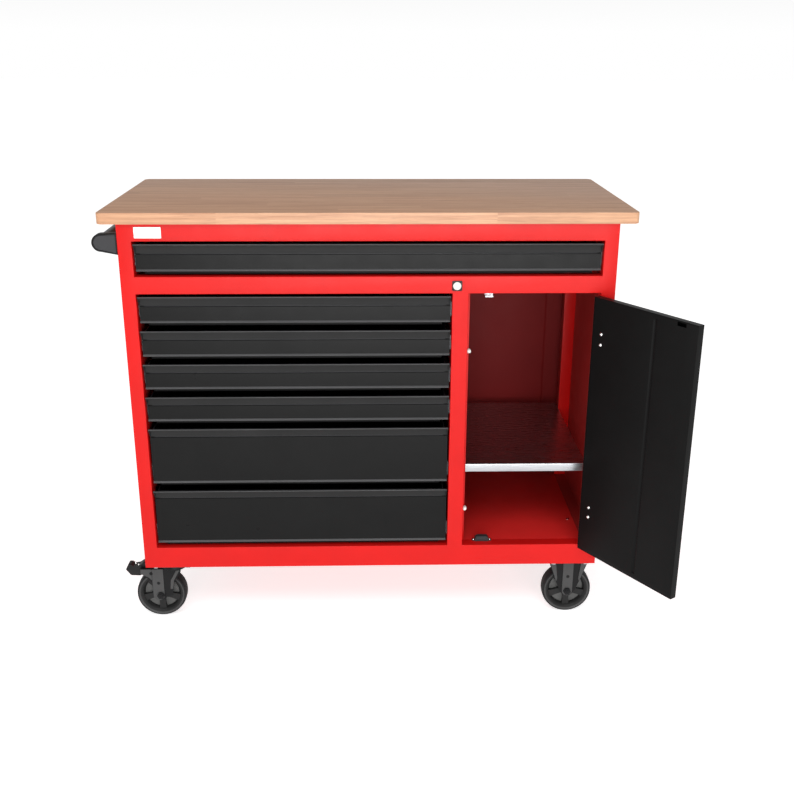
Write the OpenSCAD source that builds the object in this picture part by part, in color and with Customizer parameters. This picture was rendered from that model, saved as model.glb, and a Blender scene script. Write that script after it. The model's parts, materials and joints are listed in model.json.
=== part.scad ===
// Roller workbench: steel cabinet with seven drawers, a hinged cupboard door, a wooden worktop,
// a push handle and four casters. The door is stored open. Millimetres, +Z up, floor at Z = 0.

/* [Worktop] */
// Width of the worktop
top_w = 1200; // [1140:10:1500]
// Depth of the worktop
top_d = 550; // [540:5:700]
// Thickness of the worktop
top_t = 25; // [18:1:50]
// How far the worktop stands past the cabinet's front
top_overhang = 10; // [0:1:30]

/* [Cabinet] */
// Width of the cabinet
cab_w = 1120; // [900:10:1400]
// Depth of the cabinet
cab_d = 530; // [510:5:680]
// Thickness of the cabinet's sheet steel
sheet_t = 1.2; // [0.8:0.1:2]
// Width of the front frame's outer posts
post_w = 32; // [30:1:60]
// Width of the post between drawers and cupboard
mid_post_w = 37; // [30:1:60]
// Height of the front frame's top rail
top_rail_h = 40; // [30:1:80]
// Height of the rail under the top drawer
mid_rail_h = 40; // [36:1:80]
// Height of the bottom rail
bottom_rail_h = 55; // [45:1:90]
// Depth of the flanges folded back around each opening
frame_return = 30; // [26:1:30]
// Thickness of the base channels that carry the casters
channel_t = 3; // [2:0.5:5]
// Width of the base channels
channel_w = 120; // [110:1:160]
// Depth of a rear or front upright inside a side panel
upright_d = 40; // [25:1:60]

/* [Drawers] */
// Height of one drawer unit
unit_h = 80; // [74:1:110]
// Gap between a drawer front and the posts
front_gap = 4; // [2:0.5:8]
// Gap above a drawer's lip
lip_gap = 5; // [3:0.5:8]
// Gap under a drawer's face
face_gap = 11; // [8:0.5:14]
// How far the lip stands out of the frame
lip_out = 7; // [3:0.5:12]
// How far the face sits back from the frame
face_in = 9; // [5:0.5:12]
// Height of the slanted band under the lip
band_h = 22; // [16:1:30]
// Thickness of the drawer fronts
front_t = 1.5; // [1:0.1:2]
// Thickness of the drawer boxes
box_t = 1; // [0.8:0.1:2]
// Length of a drawer box
box_len = 470; // [400:5:480]

/* [Slides] */
// Length of a telescopic slide
slide_len = 450; // [350:10:450]
// Height of a slide
slide_h = 35; // [30:1:46]
// Thickness of a slide
slide_t = 12.7; // [12.7:0.1:14]
// Thickness of a slide's steel
rail_t = 1.2; // [1:0.1:1.5]
// Running gap between two slide members
rail_gap = 1; // [0.8:0.1:1.2]

/* [Cupboard] */
// Width of the cupboard's opening
cupboard_w = 303; // [260:1:420]
// Thickness of the door
door_t = 18; // [16:0.5:19]
// Gap between the door's free edge and the middle post
door_gap_free = 4; // [3:0.5:6]
// Gap between the door and the opening on its other sides
door_gap = 2; // [2:0.5:4]
// Angle at which the door is stored open
door_angle = 123; // [0:1:165]
// Distance of the hinge axis in front of the frame
hinge_out = 7; // [7:0.5:9]
// Height of a hinge
hinge_h = 60; // [45:3:90]
// Height of the lower hinge's middle above the door's lower edge
hinge_low = 108; // [60:1:160]
// Depth of the upper hinge's middle below the door's upper edge
hinge_high = 95; // [60:1:160]
// Height of the shelf above the cabinet's underside
shelf_z = 260; // [120:5:560]
// Height of the shelf's front and back flanges
shelf_flange = 21; // [12:1:40]

/* [Casters] */
// Overall height of a caster
caster_h = 155; // [155:1:175]
// Diameter of a wheel
wheel_d = 125; // [100:1:125]
// Width of a tyre
wheel_w = 36; // [30:1:36]
// Offset of a swivel caster's wheel from its swivel axis
trail = 35; // [25:1:38]
// Length of a caster's mounting plate
plate_l = 105; // [105:1:115]
// Width of a caster's mounting plate
plate_w = 85; // [85:1:95]
// Bolt spacing along a mounting plate
bolt_l = 80; // [80:1:90]
// Bolt spacing across a mounting plate
bolt_w = 60; // [60:1:68]
// Diameter of an axle
axle_d = 12; // [10:0.5:14]

/* [Handle] */
// Height of the push handle's middle above the cabinet's underside
handle_z = 812; // [700:1:812]
// Reach of the handle from the cabinet's side
handle_reach = 56.5; // [50:0.5:90]
// Diameter of the handle's tube
handle_d = 30; // [20:1:32]

/* [Hidden] */
$fn = 48;
layout = [2, 2, 1, 1, 1, 1];            // units of the lower drawers, from the bottom up
drawer_count = len(layout) + 1;         // the top drawer is the last one
running = 0.05;                         // radial gap of a pin or shaft that turns
loose = 0.2;                            // gap between pieces of one assembly that stay apart

// cabinet heights, from its underside
stack_h = unit_h * sum(layout);
low_z = bottom_rail_h;
mid_z = low_z + stack_h;
top_z = mid_z + mid_rail_h;
cab_h = top_z + unit_h + top_rail_h;

// cabinet places across, from its middle
half_w = cab_w / 2;
in_x = half_w - post_w;
cup_x = in_x - cupboard_w;
post_x = cup_x - mid_post_w;
inner_y = frame_return + sheet_t;
back_y = cab_d - sheet_t;

// drawers
lip_y = -lip_out;
slide_y = 18;
rail_mid_z = 38;
box_low = 13;
box_top_gap = 10;

// door, closed: the hinge axis is the origin of its turning
hinge_x = in_x;
door_x = cup_x + door_gap_free;
door_w = in_x - door_gap - door_x;
door_z = low_z + door_gap;
door_h = stack_h - 2 * door_gap;
leaf_t = 2;
leaf_w = 28;
door_leaf_w = 36;
knuckle_r = 4.5;
hinge_pin_r = 2.5;
hinge_zs = [door_z + hinge_low, door_z + door_h - hinge_high];
screw_dz = 12.5;
screw_in = 28;
rib_share = 0.39;                       // where the rib stands across the door
rib_x = door_x + door_w * rib_share;
rib_w = 12;
rib_d = 3;
rib_end = 12;
buffer_r = 5;
buffer_zs = [door_z + 88, mid_z - 144];
catch_x = cup_x + 51;
catch_w = 34;
catch_h = 13;
catch_base_w = 48;
pole_w = 10;

// lock
lock_x = (post_x + cup_x) / 2 - 8.5;
lock_z = mid_z + 18;
lock_r = 8;
lock_travel = 10;
lock_wall = 1;
barrel_y = 18;                          // where the lock's barrel ends
cap_r = 9.7;
bezel_w = 23;
bezel_t = 2;
cam_pin_r = 2;
cam_r = lock_travel / 2 / sin(45);      // the cam's pin moves the bar while the key turns by 90 degrees
lock_bar_y = 22.6;
lock_bar_t = 2;
hook_x = cup_x + 39;
hook_w = 18;
hook_head_y = 10;
hook_z = mid_z - 11;
hook_t = 3;

// casters: the left pair swivels, the right pair is rigid
swivel_x = -half_w + 62;
rigid_x = half_w - 60;
caster_y = [50, cab_d - 50];
wheel_r = wheel_d / 2;
axle_r = axle_d / 2;
plate_t = 4;
leg_t = 2.5;
leg_gap = 2.5;
leg_y = wheel_w / 2 + leg_gap;
crown_z = wheel_d + 9;
king_r = 6;
pedal_x = -68;
pedal_z = wheel_d + 3.5;
pedal_pin_r = 3;
pedal_reach = 122;
pedal_w = 24;
boss_r = 7;
bolt_hole_d = 9;
bolt_head_w = 15;
nut_h = 6.5;
bolt_head_h = 5.3;
king_head_t = 3;

// shelf, its clips, and the handle
shelf_y = 32;
shelf_slack = 1.7;
clip_t = 1.5;
clip_l = 20;
clip_leg = 18;
clip_ledge = 12;
handle_x = -half_w - 35;
bracket_r = 20;
bracket_t = 24;
socket_y = 20;                          // where the handle's tube starts in its bracket
stop_w = 12;

// how the cabinet stands in the part's own frame
open_corner_x = hinge_x - (door_w + door_gap) * cos(door_angle) - hinge_out * sin(door_angle);
open_corner_y = -hinge_out - (door_w + door_gap) * sin(door_angle) + (hinge_out + door_t) * cos(door_angle);
left_reach = max(half_w + handle_reach, pedal_reach - swivel_x, top_w / 2);
right_reach = max(open_corner_x, top_w / 2);
front_reach = min(open_corner_y, lip_y, -top_overhang);
mid_x = (right_reach - left_reach) / 2;
mid_y = (top_d - top_overhang + front_reach) / 2;

CASTERS = ["left_front", "left_rear", "right_front", "right_rear"];

function sum(v, i = 0) = i < len(v) ? v[i] + sum(v, i + 1) : 0;
function head(v, n) = n > 0 ? [for (i = [0:n - 1]) v[i]] : [];
function is_top(i) = i == drawer_count;
function units(i) = is_top(i) ? 1 : layout[i - 1];
function drawer_z(i) = is_top(i) ? top_z : low_z + unit_h * sum(head(layout, i - 1));
function drawer_h(i) = unit_h * units(i);
function drawer_right(i) = is_top(i) ? in_x : post_x;
function caster_place(i) = [i < 2 ? swivel_x - trail : rigid_x, caster_y[i % 2], wheel_r];

// ---- helpers ----

// A block between two opposite corners
module block(lo, hi) {
    translate(lo) cube(hi - lo);
}

// Puts cabinet pieces on the casters, with the model's middle at the origin
module on_casters() {
    translate([-mid_x, -mid_y, caster_h]) children();
}

// Puts pieces that are measured from the floor in the part's frame
module on_floor() {
    translate([-mid_x, -mid_y, 0]) children();
}

// Turns door pieces from closed to where the door is stored
module door_stored() {
    on_casters()
        translate([hinge_x, -hinge_out, 0])
            rotate([0, 0, door_angle])
                translate([-hinge_x, hinge_out, 0]) children();
}

// A round bar along Y from y0 to y1
module bar_y(x, z, r, y0, y1) {
    translate([x, y1, z]) rotate([90, 0, 0]) cylinder(r = r, h = y1 - y0);
}

// An outline in X and Z, as thick as y0 to y1
module plate_y(y0, y1) {
    translate([0, y1, 0]) rotate([90, 0, 0]) linear_extrude(y1 - y0) children();
}

// An outline in Y and Z, from x0 to x1
module plate_x(x0, x1) {
    translate([x0, 0, 0]) rotate([90, 0, 90]) linear_extrude(x1 - x0) children();
}

// A rectangular flange folded back around an opening
module opening_return(x0, z0, x1, z1) {
    difference() {
        block([x0 - sheet_t, 0, z0 - sheet_t], [x1 + sheet_t, frame_return, z1 + sheet_t]);
        block([x0, -1, z0], [x1, frame_return + 1, z1]);
    }
}

// ---- cabinet ----

module worktop() {
    color("burlywood") on_casters()
        block([-top_w / 2, -top_overhang, cab_h], [top_w / 2, top_d - top_overhang, cab_h + top_t]);
}

// Posts and rails, with the lock's hole and the slot for the lock bar's hook
module front_frame() {
    color("firebrick") on_casters()
        difference() {
            union() {
                difference() {
                    block([-half_w, 0, 0], [half_w, sheet_t, cab_h]);
                    block([-in_x, -1, low_z], [post_x, 2, mid_z]);
                    block([cup_x, -1, low_z], [in_x, 2, mid_z]);
                    block([-in_x, -1, top_z], [in_x, 2, top_z + unit_h]);
                }
                opening_return(-in_x, low_z, post_x, mid_z);
                opening_return(cup_x, low_z, in_x, mid_z);
                opening_return(-in_x, top_z, in_x, top_z + unit_h);
                block([cup_x, frame_return - sheet_t, low_z], [cup_x + stop_w, frame_return, mid_z]);
            }
            bar_y(lock_x, lock_z, lock_r + lock_wall + loose, -1, sheet_t + 1);
            block([hook_x - 1, lock_bar_y - 1, mid_z - 1],
                  [hook_x + hook_w + lock_travel + 1, lock_bar_y + lock_bar_t + 1, mid_z + 2]);
        }
}

// One side wall with its two uprights, drawn for the left side
module side_wall() {
    block([-half_w, sheet_t, 0], [-half_w + sheet_t, cab_d, cab_h]);
    for (y = [inner_y, slide_y + slide_len - upright_d])
        difference() {
            block([-half_w + sheet_t, y, low_z], [-in_x, y + upright_d, cab_h - 2]);
            block([-half_w + sheet_t - 1, y + sheet_t, low_z - 1],
                  [-in_x - sheet_t, y + upright_d - sheet_t, cab_h]);
        }
}

module side_panel_left() {
    color("firebrick") on_casters() side_wall();
}

module side_panel_right() {
    color("firebrick") on_casters() mirror([1, 0, 0]) side_wall();
}

module back_panel() {
    color("firebrick") on_casters()
        block([-half_w + sheet_t, back_y, 0], [half_w - sheet_t, cab_d, cab_h]);
}

module floor_panel() {
    color("firebrick") on_casters()
        block([-half_w + sheet_t, sheet_t, low_z - 2 * sheet_t],
              [half_w - sheet_t, back_y, low_z - sheet_t]);
}

// Two channels along the sides, which the casters are bolted to
module base_channels() {
    color("dimgray") on_casters()
        for (x = [-half_w + sheet_t, half_w - sheet_t - channel_w])
            difference() {
                block([x, sheet_t, 0], [x + channel_w, back_y, low_z - 2 * sheet_t]);
                block([x + channel_t, 0, channel_t],
                      [x + channel_w - channel_t, back_y + 1, low_z]);
                caster_bolt_places() translate([0, 0, -1]) cylinder(d = bolt_hole_d, h = channel_t + 2);
            }
}

// Double wall between the drawers and the cupboard
module partition_panel() {
    color("firebrick") on_casters()
        difference() {
            block([post_x, inner_y, low_z - sheet_t], [cup_x, back_y, mid_z + mid_rail_h - 2 * sheet_t]);
            block([post_x + sheet_t, inner_y + sheet_t, 0], [cup_x - sheet_t, back_y - sheet_t, cab_h]);
        }
}

module shelf() {
    color("lightgray") on_casters()
        difference() {
            block([cup_x + shelf_slack, shelf_y, shelf_z - shelf_flange],
                  [in_x - shelf_slack, slide_y + slide_len, shelf_z]);
            block([cup_x, shelf_y + sheet_t, 0], [in_x, slide_y + slide_len - sheet_t, shelf_z - sheet_t]);
        }
}

// Four angle clips under the shelf's ends
module shelf_clips() {
    color("silver") on_casters()
        for (y = [shelf_y + 6, slide_y + slide_len - clip_l - 10])
            for (side = [0, 1])
                translate([side ? in_x : cup_x, y, shelf_z - sheet_t])
                    mirror([side, 0, 0]) {
                        block([0, 0, -clip_leg], [clip_t, clip_l, -0.1]);
                        block([0, 0, -clip_t], [clip_ledge, clip_l, 0]);
                    }
}

// ---- drawers ----

// Outline of a slide member: a web at x, flanges to x + w, height h about the middle
module channel_outline(x, w, h, side = 1) {
    difference() {
        translate([x, -h / 2]) square([w, h]);
        translate([side > 0 ? x + rail_t : x - 1, -h / 2 + rail_t]) square([w - rail_t + 1, h - 2 * rail_t]);
    }
}

// Height of a member that runs inside n others
function member_h(n) = slide_h - n * 2 * (rail_t + rail_gap);

// The three members seen from the front, for a slide on the left of its drawer
module outer_member() channel_outline(0, slide_t * 0.72, slide_h);
module middle_member() channel_outline(rail_t + rail_gap, slide_t * 0.68, member_h(1));
module inner_member() {
    x = 2 * (rail_t + rail_gap);
    channel_outline(x, slide_t - x, member_h(2), -1);
}

// Draws a member along both sides of drawer i
module slide_pair(i) {
    z = drawer_z(i) + rail_mid_z;
    translate([-in_x, 0, z]) plate_y(slide_y, slide_y + slide_len) children();
    translate([drawer_right(i), 0, z])
        mirror([1, 0, 0]) plate_y(slide_y, slide_y + slide_len) children();
}

module cabinet_rails() {
    color("silver") on_casters()
        for (i = [1:drawer_count]) slide_pair(i) outer_member();
}

module drawer_middle_rails(i) {
    color("silver") on_casters() slide_pair(i) middle_member();
}

// Folded steel front: face, slanted band, rolled lip and hemmed foot, as an outline in Y and Z
module front_outline(h) {
    z0 = face_gap;
    zb = h - lip_gap - band_h;
    zl = h - lip_gap;
    t = front_t;
    polygon([
        [face_in - 1, z0], [face_in + t, z0], [face_in + t, zb + 1], [lip_y + t, zl - 3],
        [lip_y + t, zl - t], [lip_y + 4, zl - t], [lip_y + 4, zl], [lip_y, zl], [lip_y, zl - 3.5],
        [face_in, zb], [face_in, z0 + 3], [face_in - 1, z0 + 3]]);
}

module drawer_front(i) {
    color([0.17, 0.17, 0.18]) on_casters()
        translate([0, 0, drawer_z(i)])
            plate_x(-in_x + front_gap, drawer_right(i) - front_gap) front_outline(drawer_h(i));
}

// Sheet steel box with the drawer's own slide members on its sides
module drawer_box(i) {
    x0 = -in_x + slide_t;
    x1 = drawer_right(i) - slide_t;
    y0 = face_in + front_t;
    z0 = drawer_z(i) + box_low;
    z1 = drawer_z(i) + drawer_h(i) - box_top_gap;
    color([0.2, 0.2, 0.21]) on_casters() {
        difference() {
            block([x0, y0, z0], [x1, y0 + box_len, z1]);
            block([x0 + box_t, y0 + box_t, z0 + box_t], [x1 - box_t, y0 + box_len - box_t, z1 + 1]);
        }
        slide_pair(i) inner_member();
    }
}

// ---- door, hinges, catch ----

// Outer tray of the door: face and four folded edges
module door_skin() {
    color([0.17, 0.17, 0.18]) door_stored()
        difference() {
            block([door_x, 0, door_z], [door_x + door_w, door_t, door_z + door_h]);
            block([door_x + sheet_t, sheet_t, door_z + sheet_t],
                  [door_x + door_w - sheet_t, door_t + 1, door_z + door_h - sheet_t]);
        }
}

// Inner sheet with a pressed rib, and a slot for the lock's hook
module door_liner() {
    y0 = door_t - sheet_t;
    rib_z = [door_z + rib_end, door_z + door_h - rib_end];
    color([0.17, 0.17, 0.18]) door_stored()
        difference() {
            union() {
                block([door_x + sheet_t, y0, door_z + sheet_t],
                      [door_x + door_w - sheet_t, door_t, door_z + door_h - sheet_t]);
                block([rib_x - rib_w / 2, y0 - rib_d, rib_z[0]], [rib_x + rib_w / 2, y0 + 0.1, rib_z[1]]);
            }
            block([rib_x - rib_w / 2 + sheet_t, y0 - rib_d + sheet_t, rib_z[0] + sheet_t],
                  [rib_x + rib_w / 2 - sheet_t, door_t + 1, rib_z[1] - sheet_t]);
            block([hook_x - 3, y0 - 1, hook_z - 3], [hook_x + hook_w + 3, door_t + 1, hook_z + 6]);
        }
}

// One leaf with its knuckles; side is -1 for the door's leaf and 1 for the frame's
module hinge_leaf(z, side, knuckles) {
    translate([hinge_x, -hinge_out, z]) {
        difference() {
            union() {
                block([side > 0 ? 2 : -door_leaf_w, hinge_out - leaf_t, -hinge_h / 2],
                      [side > 0 ? leaf_w : -2, hinge_out, hinge_h / 2]);
                for (k = knuckles) translate([0, 0, k]) {
                    cylinder(r = knuckle_r, h = hinge_h / 3 - loose);
                    block([side > 0 ? 0 : -knuckle_r, 0, 0],
                          [side > 0 ? knuckle_r : 0, hinge_out, hinge_h / 3 - loose]);
                }
            }
            translate([0, 0, -hinge_h / 2 - 1])
                cylinder(r = hinge_pin_r + (side > 0 ? 0 : running), h = hinge_h + 2);
        }
    }
}

module hinge_frame_leaves() {
    color("silver") on_casters()
        for (z = hinge_zs) hinge_leaf(z, 1, [-hinge_h / 2, hinge_h / 6 + loose]);
}

module hinge_door_leaves() {
    color("silver") door_stored()
        for (z = hinge_zs) hinge_leaf(z, -1, [-hinge_h / 6 + loose / 2]);
}

module hinge_pins() {
    color("gray") on_casters()
        for (z = hinge_zs)
            translate([hinge_x, -hinge_out, z - hinge_h / 2]) cylinder(r = hinge_pin_r, h = hinge_h + 2);
}

// Domed rivet screws that hold the door's hinge leaves, with their shanks through the door
module door_screws() {
    color("gainsboro") door_stored()
        for (z = hinge_zs) for (dz = [-screw_dz, screw_dz])
            translate([door_x + door_w - screw_in, door_t, z + dz]) rotate([-90, 0, 0])
                rotate_extrude() polygon([[0, 0], [4, 0], [4, 0.8], [3.2, 1.9], [1.8, 2.6], [0, 2.8]]);
}

module door_buffers() {
    color("white") on_casters()
        for (z = buffer_zs)
            bar_y(cup_x + stop_w / 2, z, buffer_r, door_t + 0.4, frame_return - sheet_t);
}

// Double magnetic catch on the cupboard's floor flange, with its two steel pole strips
module magnetic_catch() {
    y = frame_return;
    color([0.1, 0.1, 0.1]) on_casters()
        difference() {
            union() {
                block([catch_x - catch_w / 2, door_t + 1, low_z],
                      [catch_x + catch_w / 2, y + 3, low_z + catch_h]);
                block([catch_x - catch_base_w / 2, door_t + 4, low_z],
                      [catch_x + catch_base_w / 2, y, low_z + 3]);
            }
            for (x = [catch_x - 2 - pole_w, catch_x + 2])
                block([x, door_t, low_z + 3], [x + pole_w, door_t + 3, low_z + catch_h - 3]);
        }
}

// ---- lock ----

// Square bezel and the barrel that the cylinder turns in
module lock_housing() {
    color([0.15, 0.15, 0.15]) on_casters()
        difference() {
            union() {
                plate_y(-bezel_t, 0) translate([lock_x, lock_z]) square(bezel_w, center = true);
                bar_y(lock_x, lock_z, lock_r + lock_wall, -1, barrel_y);
            }
            bar_y(lock_x, lock_z, lock_r + running, -bezel_t - 1, barrel_y + 1);
        }
}

// Turning cylinder with its keyhole, and a cam whose pin moves the lock bar
module lock_cylinder() {
    color("silver") on_casters()
        difference() {
            union() {
                bar_y(lock_x, lock_z, cap_r, -bezel_t - 2, -bezel_t - loose);
                bar_y(lock_x, lock_z, lock_r, -bezel_t - 1, barrel_y + 2);
                bar_y(lock_x, lock_z, cam_r + 3.5, barrel_y + 2, lock_bar_y - 0.8);
                bar_y(lock_x - lock_travel / 2, lock_z + lock_travel / 2, cam_pin_r,
                      barrel_y + 3, lock_bar_y + lock_bar_t + 1);
            }
            block([lock_x - 0.8, -5, lock_z - 4], [lock_x + 0.8, -1, lock_z + 4]);
        }
}

// Flat bar behind the middle rail, with a hook that reaches into the door's slot
module lock_bar() {
    bar_back = lock_bar_y + lock_bar_t;
    slot_r = cam_pin_r + 0.6;
    color("silver") on_casters()
        difference() {
            union() {
                block([lock_x - 14, lock_bar_y, mid_z + 3], [hook_x + hook_w, bar_back, mid_z + 32]);
                block([hook_x, lock_bar_y, hook_z], [hook_x + hook_w, bar_back, mid_z + 4]);
                block([hook_x, hook_head_y + hook_t, hook_z], [hook_x + 8, lock_bar_y + 1, hook_z + hook_t]);
                block([hook_x, hook_head_y, hook_z],
                      [hook_x + hook_w, hook_head_y + hook_t, hook_z + hook_t]);
            }
            block([lock_x - lock_travel / 2 - slot_r, lock_bar_y - 1, lock_z + 1.5],
                  [lock_x - lock_travel / 2 + slot_r, bar_back + 1, lock_z + 11]);
        }
}

// ---- handle ----

// Tube between the two brackets
module handle_bar() {
    color([0.2, 0.2, 0.2]) on_casters()
        difference() {
            bar_y(handle_x, handle_z, handle_d / 2, socket_y, cab_d - socket_y);
            bar_y(handle_x, handle_z, handle_d / 2 - 2, socket_y - 10, cab_d - socket_y + 10);
        }
}

// A bracket's outline: round end, level top and sloping underside
module bracket_outline() {
    x = -half_w - handle_reach + bracket_r;
    translate([x, handle_z]) circle(bracket_r);
    polygon([[-half_w, handle_z + 21], [x, handle_z + bracket_r],
             [x, handle_z - bracket_r], [-half_w, handle_z - 27]]);
}

module handle_brackets() {
    color([0.12, 0.12, 0.12]) on_casters()
        difference() {
            for (y = [0, cab_d - bracket_t]) plate_y(y, y + bracket_t) bracket_outline();
            bar_y(handle_x, handle_z, handle_d / 2, socket_y, cab_d - socket_y);
        }
}

// ---- casters ----

// Repeats a piece at the bolt holes of all four casters
module caster_bolt_places() {
    for (cx = [swivel_x, rigid_x]) for (cy = caster_y)
        for (dx = [-bolt_l / 2, bolt_l / 2]) for (dy = [-bolt_w / 2, bolt_w / 2])
            translate([cx + dx, cy + dy, 0]) children();
}

module caster_bolts() {
    color("silver") on_casters()
        caster_bolt_places() {
            translate([0, 0, -plate_t - bolt_head_h]) cylinder(d = bolt_head_w, h = bolt_head_h, $fn = 6);
            translate([0, 0, -plate_t - 1]) cylinder(d = 8, h = plate_t + channel_t + nut_h + 2.5);
            translate([0, 0, channel_t]) cylinder(d = bolt_head_w, h = nut_h, $fn = 6);
        }
}

// A caster's mounting plate, with its top face at z
module mounting_plate(z) {
    difference() {
        translate([-plate_l / 2, -plate_w / 2, z - plate_t]) cube([plate_l, plate_w, plate_t]);
        for (dx = [-bolt_l / 2, bolt_l / 2]) for (dy = [-bolt_w / 2, bolt_w / 2])
            translate([dx, dy, z - plate_t - 1]) cylinder(d = bolt_hole_d, h = plate_t + 2);
    }
}

// Plates of the swivel casters, with the upper race and the king pin
module swivel_plates() {
    color([0.25, 0.25, 0.25]) on_floor()
        for (y = caster_y) translate([swivel_x, y, 0]) {
            mounting_plate(caster_h);
            translate([0, 0, caster_h - 8]) cylinder(r = 30, h = 5);
            translate([0, 0, crown_z - 8]) cylinder(r = king_r, h = caster_h - crown_z + 5);
            translate([0, 0, crown_z - 8]) cylinder(r = king_r + 4, h = king_head_t);
        }
}

// Outline of a fork leg about the axle at [x, wheel_r], w wide at the top edge z between x0 and x1
module leg_outline(x, x0, x1, z) {
    difference() {
        union() {
            polygon([[x0, z], [x1, z], [x1, z - 10], [x + 26, wheel_r + 36], [x + 15, wheel_r],
                     [x - 15, wheel_r], [x - 26, wheel_r + 36], [x0, z - 10]]);
            translate([x, wheel_r]) circle(15);
        }
        translate([x, wheel_r]) circle(axle_r + loose);
    }
}

// Axle bolt with its head and nut, apart from the fork it sits in
module axle_bolt(x) {
    y = leg_y + leg_t + 0.1;
    bar_y(x, wheel_r, axle_r, -y - 4, y + 4);
    for (s = [-1, 1])
        translate([x, s > 0 ? y + 6 : -y, wheel_r]) rotate([90, 0, 0]) cylinder(d = 20, h = 6, $fn = 6);
}

// Both legs of a fork
module fork_legs(x, x0, x1, z) {
    for (s = [-1, 1])
        plate_y(s > 0 ? leg_y : -leg_y - leg_t, s > 0 ? leg_y + leg_t : -leg_y) leg_outline(x, x0, x1, z);
}

// Swivelling fork: crown with the lower race, two legs, axle bolt and the pedal's pin
module swivel_fork(i) {
    color([0.16, 0.16, 0.16]) on_floor() translate([swivel_x, caster_y[i], 0]) {
        difference() {
            union() {
                translate([-trail - 48, -leg_y - leg_t, crown_z]) cube([96, 2 * (leg_y + leg_t), 3]);
                translate([0, 0, crown_z]) cylinder(r = 34, h = caster_h - 9 - crown_z);
                fork_legs(-trail, -trail - 48, -trail + 48, crown_z + 3);
            }
            translate([0, 0, crown_z - 1]) cylinder(r = king_r + running, h = 40);
            block([pedal_x - 60, -pedal_w / 2 - 1, crown_z - 1],
                  [pedal_x + 12, pedal_w / 2 + 1, crown_z + 12]);
        }
        bar_y(pedal_x, pedal_z, pedal_pin_r, -leg_y - 0.1, leg_y + 0.1);
        axle_bolt(-trail);
    }
}

// Foot lever that presses its shoe on the tyre
module brake_pedal(i) {
    color([0.12, 0.12, 0.12]) on_floor() translate([swivel_x, caster_y[i], 0])
        difference() {
            union() {
                plate_y(-pedal_w / 2, pedal_w / 2)
                    polygon([[pedal_x + 6, pedal_z - 5], [pedal_x + 6, pedal_z + 6],
                             [pedal_x - 20, pedal_z + 7], [-pedal_reach + 18, pedal_z - 6],
                             [-pedal_reach + 8, pedal_z - 2], [-pedal_reach, pedal_z - 12],
                             [-pedal_reach + 14, pedal_z - 26], [-pedal_reach + 34, pedal_z - 24],
                             [pedal_x - 16, pedal_z - 9]]);
                bar_y(pedal_x, pedal_z, boss_r, -pedal_w / 2, pedal_w / 2);
            }
            bar_y(pedal_x, pedal_z, pedal_pin_r + running, -pedal_w, pedal_w);
        }
}

// Rigid forks with their own plates and axle bolts
module rigid_forks() {
    color([0.16, 0.16, 0.16]) on_floor()
        for (y = caster_y) translate([rigid_x, y, 0]) {
            mounting_plate(caster_h);
            translate([-30, -leg_y - leg_t, caster_h - 14]) cube([60, 2 * (leg_y + leg_t), 10.1]);
            fork_legs(0, -48, 48, caster_h - plate_t);
            axle_bolt(0);
        }
}

// Hub, five spokes and rim, turning on the axle
module wheel_core(i) {
    rim_r = wheel_r - 9;
    color([0.3, 0.3, 0.3]) on_floor() translate(caster_place(i)) rotate([90, 0, 0])
        difference() {
            union() {
                cylinder(r = 14, h = wheel_w + 3, center = true);
                difference() {
                    cylinder(r = rim_r, h = wheel_w - 6, center = true);
                    cylinder(r = rim_r - 6, h = wheel_w, center = true);
                }
                cylinder(r = rim_r - 5, h = 4, center = true);
                for (a = [0:72:288]) rotate([0, 0, a + 18])
                    translate([8, -4, -wheel_w / 2 + 5]) cube([rim_r - 11, 8, wheel_w - 10]);
            }
            cylinder(r = axle_r + running, h = wheel_w + 20, center = true);
        }
}

module tyre(i) {
    in_r = wheel_r - 9;
    w = wheel_w / 2;
    color([0.08, 0.08, 0.08]) on_floor() translate(caster_place(i)) rotate([90, 0, 0])
        rotate_extrude($fn = 96)
            polygon([[in_r, -w + 3], [wheel_r - 4, -w], [wheel_r - 1, -w + 4], [wheel_r, -6], [wheel_r, 6],
                     [wheel_r - 1, w - 4], [wheel_r - 4, w], [in_r, w - 3]]);
}

worktop();
front_frame();
side_panel_left();
side_panel_right();
back_panel();
floor_panel();
base_channels();
partition_panel();
shelf();
shelf_clips();
cabinet_rails();
hinge_frame_leaves();
hinge_pins();
door_buffers();
magnetic_catch();
lock_housing();
handle_bar();
handle_brackets();
swivel_plates();
rigid_forks();
caster_bolts();
door_skin();
door_liner();
hinge_door_leaves();
door_screws();
lock_cylinder();
lock_bar();
for (i = [0, 1]) {
    swivel_fork(i);
    brake_pedal(i);
}
for (i = [0:3]) {
    wheel_core(i);
    tyre(i);
}
for (i = [1:drawer_count]) {
    drawer_front(i);
    drawer_box(i);
    drawer_middle_rails(i);
}
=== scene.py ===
import json
import math
import bpy
import bmesh
from mathutils import Matrix, Vector


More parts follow.
